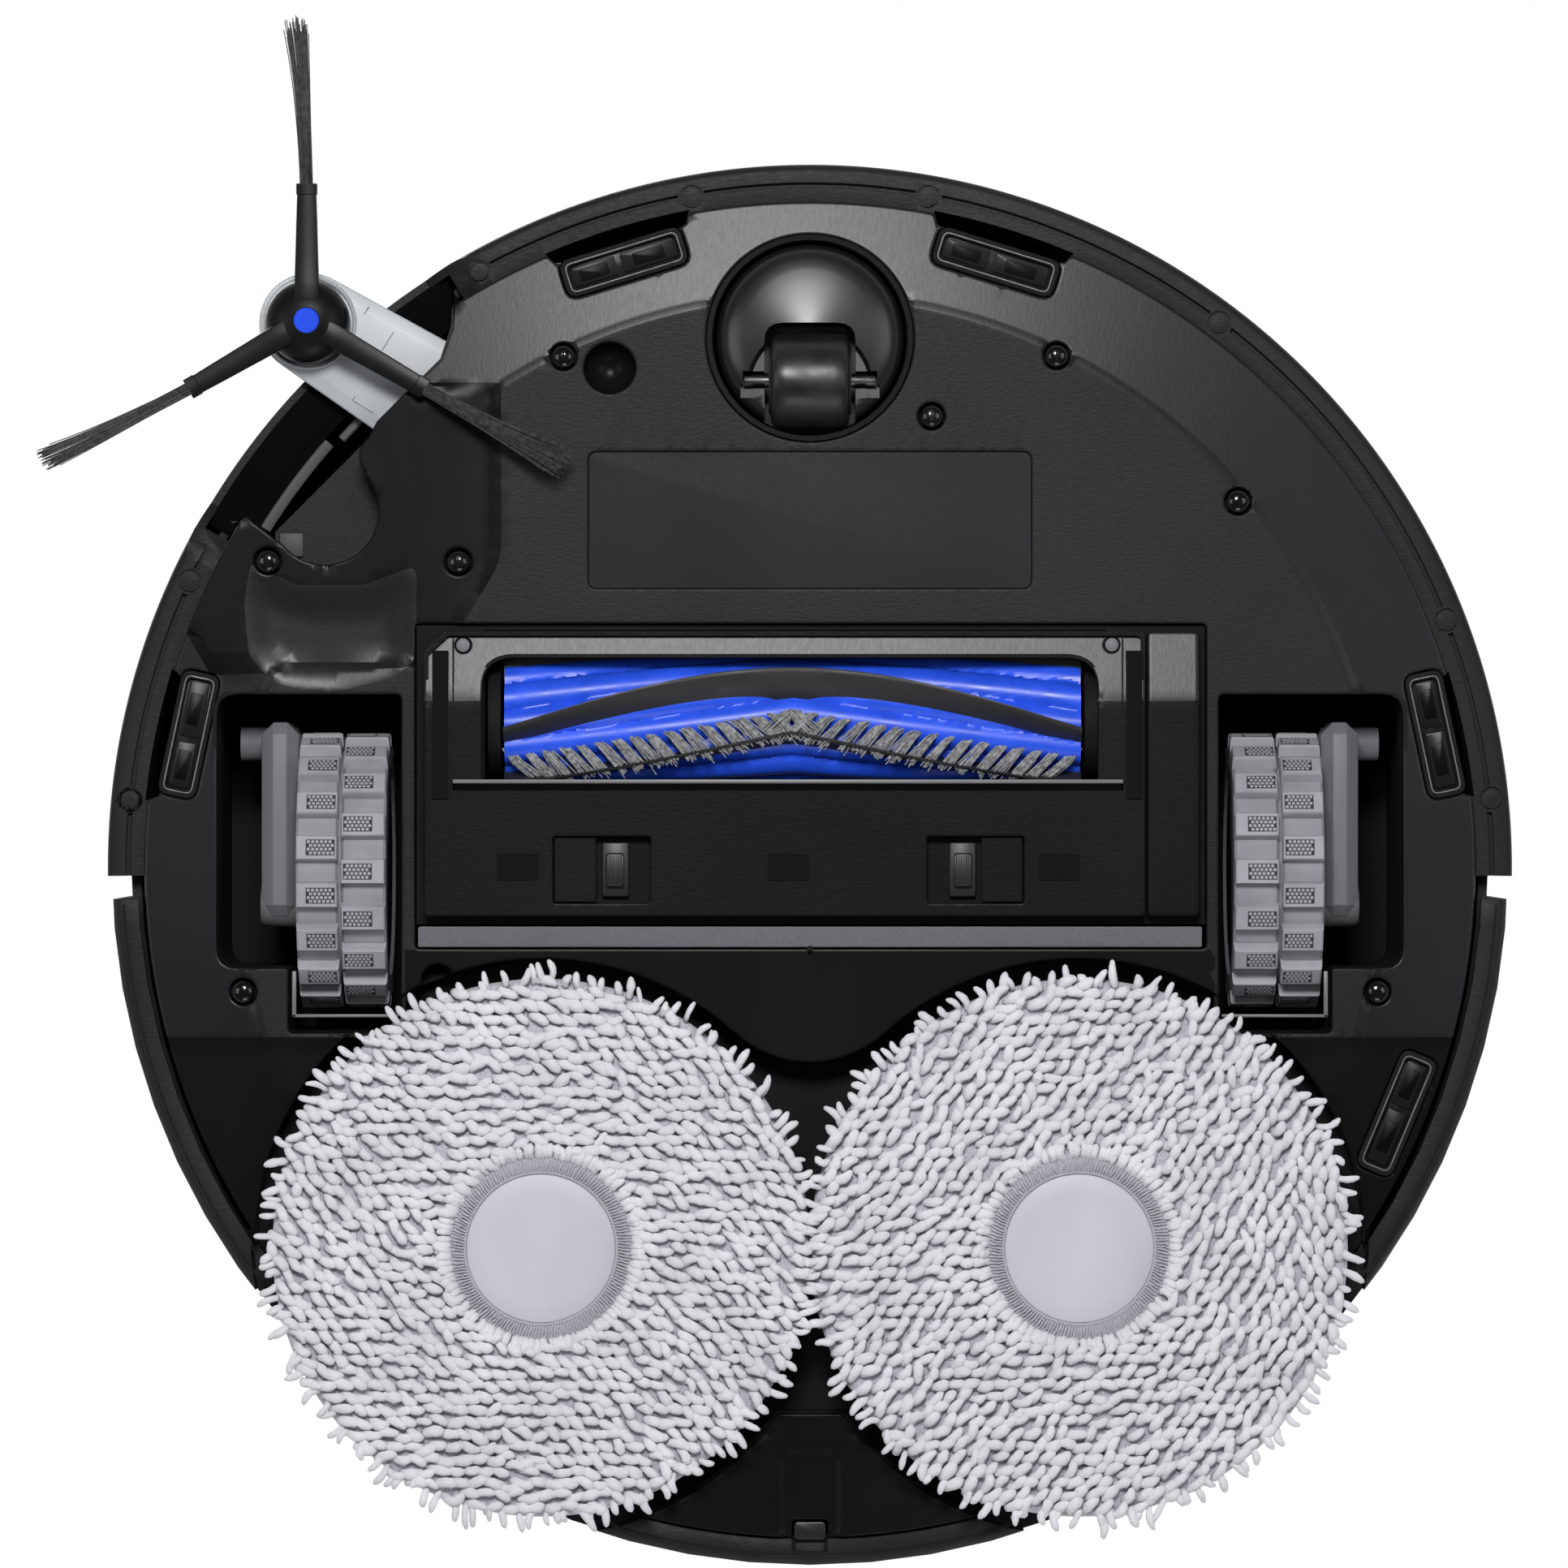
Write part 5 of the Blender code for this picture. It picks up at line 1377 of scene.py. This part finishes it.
def cover_fittings():
    """Felts, pegs, latch recesses and the two seams of the cover."""
    felts = [box(xs, (-54.1, -17.1), (4.75, 8.0), 0.15) for xs in ((-94.3, -90.3), (78.9, 82.9))]
    felts += [box((x - 5.2, x + 5.2), (-3.5, 3.2), (5.1, 6.0), 0.15) for x in (-72.9, -5.4, 62.1)]
    make("felt_strips", felts, FELT_BLACK, "roller_cover")
    pegs = [lathe([(0, 8.6), (1.7, 8.6), (1.7, 6.9), (1.2, 6.6), (0, 6.5)], spot, 20) for spot in PEGS]
    make("cover_pegs", pegs, HOUSING_GREY, "roller_cover")
    floors = [thin_plate(rectangle(xs, (-8.6, 9.9), 0.8), 8.7 + 1.9, 11.3, 0.1)
              for xs in ((-65.0, -39.0), (28.4, 54.3))]
    ledges = [thin_plate(rectangle(xs, (-7.4, 8.7), 0.4), 6.9, 7.7, 0.2)
              for xs in ((-63.9, -53.5), (42.9, 53.1))]
    make("latch_pans", [*floors, *ledges], COVER_BLACK, "roller_cover", angle=12)
    seams = [box((x - 0.18, x + 0.18), (-57.5, 11.8), (5.45, 6.2)) for x in (-89.1, 78.0)]
    make("cover_seams", seams, DEEP_AND_SHADE, "roller_cover")


def latches():
    """Two sliding catches, each with a ribbed knob, mirrored about the roller's middle."""
    for name, side, edge in (("right", 1, -51.9), ("left", -1, 41.4)):
        def across(a, b):
            return sorted((edge + side * a, edge + side * b))

        slider = box(across(0, 6.6), (-6.2, 7.4), (7.95, 10.3), 0.5)
        knob = box(across(0.9, 5.4), (-3.6, 4.8), (5.9, 8.3), 0.55, 3)
        ribs = [box(across(1.2 + 1.2 * i, 1.75 + 1.2 * i), (-2.9, 4.1), (5.65, 6.3), 0.12)
                for i in range(4)]
        make(f"{name}_latch", [slider, knob, *ribs], FRAME_GREY, f"{name}_latch",
             [f"latch_{name}"])


def gearbox():
    """End block of the suction head, with the same rising front as the cover beside it."""
    outer = rectangle((84.2, 97.3), (-59.1, 12.2), 1.4)
    body = plate(outer, [], cover_height, 4.2, 0.7, 1.6, 2.2, [BAND])
    made = make("gearbox_end", [body], [COVER_BLACK, SLOPE], "chassis", ["brush_gearbox"], 40)
    smooth_band(made, body)


def strip():
    """Soft wiper behind the roller, with a small locating pip."""
    low, high = span("wiper_strip")
    body = box((low[0], high[0]), (low[1], high[1]), (low[2], high[2]), 0.5, 3)
    make("wiper", [body], STRIP, "chassis", ["wiper_strip"])
    pip = lathe([(0, 9.0), (0.75, 9.0), (0.75, 8.2), (0.5, 7.9), (0, 7.8)], (0, 20.4), 16)
    make("wiper_pip", [pip], DEEP_AND_SHADE, "chassis")


# ---- side brush -----------------------------------------------------------------------------------
BAR_TURNS = (-90, 30, 150)


def arm_outline(grow):
    along = math.degrees(math.atan2(HUB[1] - SWING[1], HUB[0] - SWING[0]))
    tip = arc(HUB, 12.6 + grow, along - 88, along + 88, 33)
    root = arc(SWING, 14.8 + grow, along + 95, along + 265, 25)
    return tip + root


def side_arm():
    """Flat silver arm with bevelled flanks, hairline seams and a raised collar round the hub."""
    rings = [[(x, y, z) for x, y in arm_outline(grow)]
             for grow, z in ((-3.3, 17.5), (-3.15, 17.52), (-0.3, 18.25), (0, 18.6), (0, 23.3), (-0.3, 23.5))]
    along = math.degrees(math.atan2(SWING[1] - HUB[1], SWING[0] - HUB[0]))
    seams = [box((x - 0.12, x + 0.12), y, (17.44, 17.8))
             for x, y in ((19.2, (-9.2, -3.8)), (10.6, (-11.4, -9.2)), (19.5, (9.6, 10.7)))]
    seams.append(box((19.5, 25.6), (10.6, 10.84), (17.5, 18.2)))
    seams = [moved(turned_z(seam, along), (*HUB, 0)) for seam in seams]
    make("side_arm", [loft(rings)], ARM_GREY, "swing_arm", ["side_arm"], 25)
    make("side_arm_seams", seams, HOUSING_GREY, "swing_arm")
    ring = lathe([(10.9, 19.0), (10.9, 16.9), (11.3, 16.6), (11.8, 16.9), (12.0, 17.6), (12.0, 19.0)],
                 HUB, 72, closed=True)
    make("side_arm_collar", [ring], ARM_GREY, "swing_arm")
    motor = lathe([(0, 23.2), (12.0, 23.2), (12.0, 41.0), (11.0, 42.0), (0, 42.0)], SWING, 48)
    make("side_arm_motor", [motor], HOUSING_GREY, "swing_arm")


def hub_bar(degrees):
    """One arm of the hub: it widens from the boss, thins outwards and ends in a small sleeve."""
    stations = ((2.6, 2.2, 4.9), (6.0, 3.1, 4.75), (10.0, 3.0, 5.0), (17, 2.8, 5.25), (25, 2.6, 5.35),
                (31.4, 2.4, 5.4), (31.6, 2.6, 5.2), (34.2, 2.6, 5.2))
    rings = []
    for r, half, low in stations:
        top = 8.4 if r > 8 else 8.0
        section = [(-half, low + 0.45), (-half + 0.12, low + 0.12), (-half + 0.45, low), (half - 0.45, low),
                   (half - 0.12, low + 0.12), (half, low + 0.45), (half, top), (-half, top)]
        rings.append([(r, s, z) for s, z in section])
    return moved(turned_z(loft(rings), degrees), (*HUB, 0))


def side_hub():
    dome = lathe([(0, 17.2), (10.4, 17.2), (10.5, 9.6), (10.15, 8.1), (9.3, 6.8), (8.0, 5.75), (6.3, 4.95),
                  (4.6, 4.45), (3.4, 4.2), (3.3, 4.35), (0, 4.4)], HUB, 72)
    bars = [hub_bar(turn) for turn in BAR_TURNS]
    make("side_hub", [dome, *bars], HUB_BLACK, "side_brush", ["side_brush_hub"], 26)
    cap = lathe([(0, 5.2), (3.15, 5.2), (3.15, 4.2), (2.9, 4.02), (0, 4.0)], HUB, 40)
    make("side_hub_cap", [cap], BLUE_CAP, "side_brush")


def side_tufts():
    """Long bristles in three bundles; each bundle droops to the floor, spreads and curls its own way."""
    root, reach, points = 33.0, 43.0, 9
    for i, (curl, fan) in enumerate(((-2.4, 3.5), (-1.4, 4.9), (2.6, 3.1))):
        hairs = []
        for _ in range(64):
            lane, depth = RNG.uniform(-1, 1), RNG.uniform(0, 1)
            length = RNG.uniform(71.5, 75.9) - 1.6 * abs(lane)
            stray = RNG.normal(0, 0.28)
            xs = np.linspace(root, length, points)
            t = (xs - root) / reach
            ys = lane * (1.5 + (fan - 1.5) * t ** 2.2) + curl * t ** 2 + stray * t
            droop = np.interp(xs, (33, 37, 48, 76), (6.3, 4.6, 1.1, 0.75))
            zs = np.maximum(droop + (depth - 0.5) * 1.3 * (1 - 0.35 * t), 0.3)
            hairs.append(tube(np.stack([xs, ys, zs], -1), np.linspace(0.19, 0.13, points), 5))
        hairs = [moved(turned_z(h, BAR_TURNS[i]), (*HUB, 0)) for h in hairs]
        make(f"side_tuft_{i + 1}", hairs, BRISTLE, "side_brush", [f"side_brush_tuft_{i + 1}"], 70)


# ---- drive wheels -----------------------------------------------------------------------------
LUGS = 18
PITCH = 360 / LUGS
CELL_R = 34.8


def wheel_point(x, radius, degrees):
    a = math.radians(degrees)
    return (x, WHEEL_Y + radius * math.sin(a), WHEEL_R - radius * math.cos(a))


def tread_block(x0, x1, radius, turn, half_turn):
    """Four corners of a block's section at one radius."""
    return [wheel_point(x, radius, turn + s * half_turn) for x, s in ((x0, -1), (x1, -1), (x1, 1), (x0, 1))]


def lug(x0, x1, turn):
    """One tread block: wide root, narrower worn crown."""
    steps = ((31.4, 0.285, 0.0), (33.9, 0.262, 0.12), (34.5, 0.25, 0.25), (34.72, 0.232, 0.55))
    return loft([tread_block(x0 + inset, x1 - inset, radius, turn, half * PITCH)
                 for radius, half, inset in steps])


def bed(x0, x1, turn):
    """Dark ground under a block's hexagons: painted shade of the narrow grooves between them."""
    half_turn = math.degrees(2.0 / WHEEL_R)
    return loft([tread_block(x0, x1, radius, turn, half_turn) for radius in (34.2, 34.76)])


def sipe(x, turn, size=0.50):
    """One raised hexagon of the tread's grip pattern."""
    rings = []
    for radius, scale in ((34.5, 1.0), (CELL_R, 0.92)):
        ring = []
        for a in np.radians(60 * np.arange(6) + 30):
            across, along = size * scale * math.cos(a), size * scale * math.sin(a)
            ring.append(wheel_point(x + across, radius, turn + math.degrees(along / CELL_R)))
        rings.append(ring)
    return loft(rings)


def sipes(near_split, inward, turn):
    """Four staggered rows of six hexagons on one block."""
    cells = []
    for row in (-1.5, -0.5, 0.5, 1.5):
        shift = 0.5 if row in (-1.5, 0.5) else 0
        for column in range(6):
            x = near_split + inward * (1.3 + 1.08 * (column + shift))
            cells.append(sipe(x, turn + math.degrees(row * 0.95 / CELL_R)))
    return cells


def tyre_band(side):
    """The tyre's carcass: two crowned bands and the groove between them."""
    band = []
    for x0, x1 in ((105.9, 117.0), (117.8, 128.3)):
        low, high = sided(side, x0, x1)
        band.append(lathe([(26.6, low), (31.2, low), (31.9, low + 0.6), (31.9, high - 0.6), (31.2, high),
                           (26.6, high)], (WHEEL_Y, WHEEL_R), 90, axis="X", closed=True))
    low, high = sided(side, 116.8, 118.0)
    band.append(lathe([(26.6, low), (30.2, low), (30.2, high), (26.6, high)], (WHEEL_Y, WHEEL_R), 72,
                      axis="X", closed=True))
    return band


def tyre(name, side):
    """Two rows of blocks, staggered by half a pitch, each block with its hexagons."""
    split = side * (WHEEL_X + 0.2)
    columns = ((side * 105.9, split - side * 0.35, 0.0), (split + side * 0.35, side * 128.3, 0.5))
    blocks, cells, beds = [], [], []
    for first, second, offset in columns:
        x0, x1 = sorted((first, second))
        near_split = first if abs(first - split) < abs(second - split) else second
        inward = 1 if near_split == x0 else -1
        bed_x = sorted((near_split + inward * 0.7, near_split + inward * 7.9))
        for i in range(LUGS):
            turn = (i + offset) * PITCH
            blocks.append(lug(x0, x1, turn))
            beds.append(bed(*bed_x, turn))
            cells += sipes(near_split, inward, turn)
    groups = [blocks + cells, tyre_band(side), beds]
    made = make(f"{name}_tyre_tread", sum(groups, []), [TYRE, TYRE_GROOVE, TREAD_SHADE], f"{name}_wheel",
                [f"{name}_tyre"], 38)
    index = np.repeat(range(len(groups)), [sum(len(part[1]) for part in group) for group in groups])
    made.data.polygons.foreach_set("material_index", index.astype(np.int32))


def drive_units():
    dress(HOUSING_GREY, "right_drive_housing", "left_drive_housing", bevel=0.3)
    dress(HOUSING_GREY, "right_wheel_hub", "left_wheel_hub", bevel=0.4)
    for name, side in SIDES:
        tyre(name, side)
        low, high = span(f"{name}_drive_housing")
        inner = min(abs(low[0]), abs(high[0]))
        stub = lathe([(0, side * (inner + 0.4)), (5.2, side * (inner + 0.4)), (5.6, side * (inner + 1.0)),
                      (5.6, side * 137.2), (5.0, side * 138.2), (0, side * 138.2)], (9.6, 27.0), 32, axis="X")
        make(f"{name}_drive_stub", [stub], MODULE_GREY, f"{name}_arm")


# ---- caster -----------------------------------------------------------------------------------
def caster():
    """Glossy swivel dome with its slot, a black ring of painted shade in the gap round it, and the roller."""
    centre_xy = (0, CASTER_Y)
    wheel_y = CASTER_WHEEL_Y
    dome = [(0, 30.8), (23.4, 30.8), (23.55, 30.5), (23.55, 13.6), (23.3, 11.9), (22.6, 10.4), (21.3, 9.1),
            (19.4, 8.15), (16.8, 7.45), (13.6, 6.75), (10.2, 6.08), (6.6, 5.43), (3.2, 4.9), (0, 4.63)]
    arch = lathe([(0, 0), (16.0, 0), (16.0, 7.4), (15.0, 9.0), (0, 9.0)], (0, CASTER_Y + 13.0), 64)
    mouth = rounded([(-11.4, wheel_y - 14.2), (11.4, wheel_y - 14.2), (11.4, -100), (-11.4, -100)],
                    [4.5, 4.5, 1, 1])
    shoe = box((-30, 30), (-119.0, -100), (0, 9.0), 0.3)
    pins = [box(sided(s, 11.0, 16.8), (wheel_y - 2.2, wheel_y + 2.2), (5.0, 14.2)) for s in (-1, 1)]
    pins += [box(sided(s, 14.4, 17.4), (wheel_y + 1.2, wheel_y + 4.4), (5.0, 11.0)) for s in (-1, 1)]
    body = carve(lathe(dome, centre_xy, 96), [arch, prism(mouth, 0, 25.0), shoe, *pins])
    make("caster_dome", [body], CASTER_GLOSS, "caster_fork", ["caster_swivel"], 28)
    # Black ring that fills the gap between the dome and the socket: painted shade of the gap.
    ring = lathe([(24.3, 12.6), (24.6, 12.2), (25.7, 12.2), (26.0, 12.4), (26.0, 15.0), (24.3, 15.0)],
                 centre_xy, 96, closed=True)
    make("caster_gap_shade", [ring], DEEP_AND_SHADE, "chassis")
    half = 10.3
    flank = [(2.1, half), (8.4, half), (8.8, half - 0.5), (10.4, half - 0.6), (11.2, half - 1.1),
             (11.6, half - 2.2), (11.78, half - 4.5)]
    profile = [*flank, (CASTER_WHEEL_R, 0), *[(r, -x) for r, x in reversed(flank)]]
    wheel = lathe(profile, (wheel_y, CASTER_WHEEL_R), 72, axis="X", closed=True)
    make("caster_roller", [wheel], CASTER_RUBBER, "caster_roller", ["caster_wheel"], 40)


# ---- top ------------------------------------------------------------------------------------------
def round_cut(steps_down, middle_xy, steps):
    """Cutter for a round hole or step in the lid, from (radius, height) points at its wall."""
    return lathe([(0, steps_down[0][1]), *steps_down, (0, steps_down[-1][1])], middle_xy, steps)


def lid():
    """Flat lid with a rolled rim, a hole for the turret and one for the button, and a round hairline."""
    profile = [(0, 86.8), (173.9, 86.8), (174.2, 87.1), (174.2, 88.6), (173.9, 89.3), (173.2, 89.9),
               (172.2, 90.2), (171.2, 90.3), (168.6, 90.3), (168.3, 90.05), (167.9, 90.05), (167.6, 90.3),
               (0, 90.3)]
    low, top = 80, 95
    line = lathe([(60.0, 90.0), (60.35, 90.0), (60.35, top), (60.0, top)], (0, BUTTON_Y + 31.0), 120,
                 closed=True)
    cutters = [round_cut([(41.2, low), (41.2, 89.6), (42.6, 89.6), (42.6, top)], LIDAR, 96),
               round_cut([(6.4, low), (6.4, 89.8), (7.4, 89.8), (7.4, top)], (0, BUTTON_Y), 48),
               line]
    cutters += [round_cut([(1.0, 89.9), (1.0, top)], (x, BUTTON_Y), 20) for x in (-17.1, 17.1)]
    body = carve(lathe(profile, steps=240), cutters)
    make("lid", [body], LID_BLACK, "lid", ["top_cover"], 30)


def turret():
    cap = lathe([(0, 98.5), (39.6, 98.5), (40.0, 98.9), (40.0, 100.2), (39.6, 101.1), (38.8, 101.7),
                 (37.6, 102.0), (30.5, 102.0), (30.2, 101.75), (29.8, 101.75), (29.5, 102.0), (0, 102.0)],
                LIDAR, 120)
    make("turret_cap", [cap], LID_BLACK, "chassis", ["lidar_cap"], 30)
    ring = lathe([(37.4, 86.9), (39.7, 86.9), (40.0, 87.2), (40.0, 89.4), (39.7, 89.7), (37.4, 89.7)],
                 LIDAR, 96, closed=True)
    make("turret_base", [ring], FRAME_GREY, "chassis")
    post = box((37.0, 39.5), (-1.6, 1.6), (88.5, 98.6), 0.3)
    posts = [moved(turned_z(post, turn), (*LIDAR, 0)) for turn in (30, 150, 270)]
    make("turret_posts", posts, GLOSS, "chassis")


def button():
    knob = lathe([(0, 80.0), (5.9, 80.0), (5.95, 90.4), (5.7, 91.0), (5.2, 91.25), (4.2, 91.3), (3.9, 91.1),
                  (3.5, 91.1), (3.2, 91.3), (0, 91.15)], (0, BUTTON_Y), 56)
    make("power_knob", [knob], HOUSING_GREY, "button", ["power_button"])


# ---- everything -------------------------------------------------------------------------------
def build():
    dress_frame()
    floor()
    world()
    lights()
    camera()
    underside_pan()
    cup()
    pan_screws()
    sensor_windows()
    label()
    wells()
    pocket()
    bumper()
    skirt()
    rear_panel()
    for name, side in SIDES:
        mop_pad(name, side)
    roller()
    cover()
    cover_fittings()
    latches()
    gearbox()
    strip()
    side_arm()
    side_hub()
    side_tufts()
    drive_units()
    caster()
    lid()
    turret()
    button()


build()
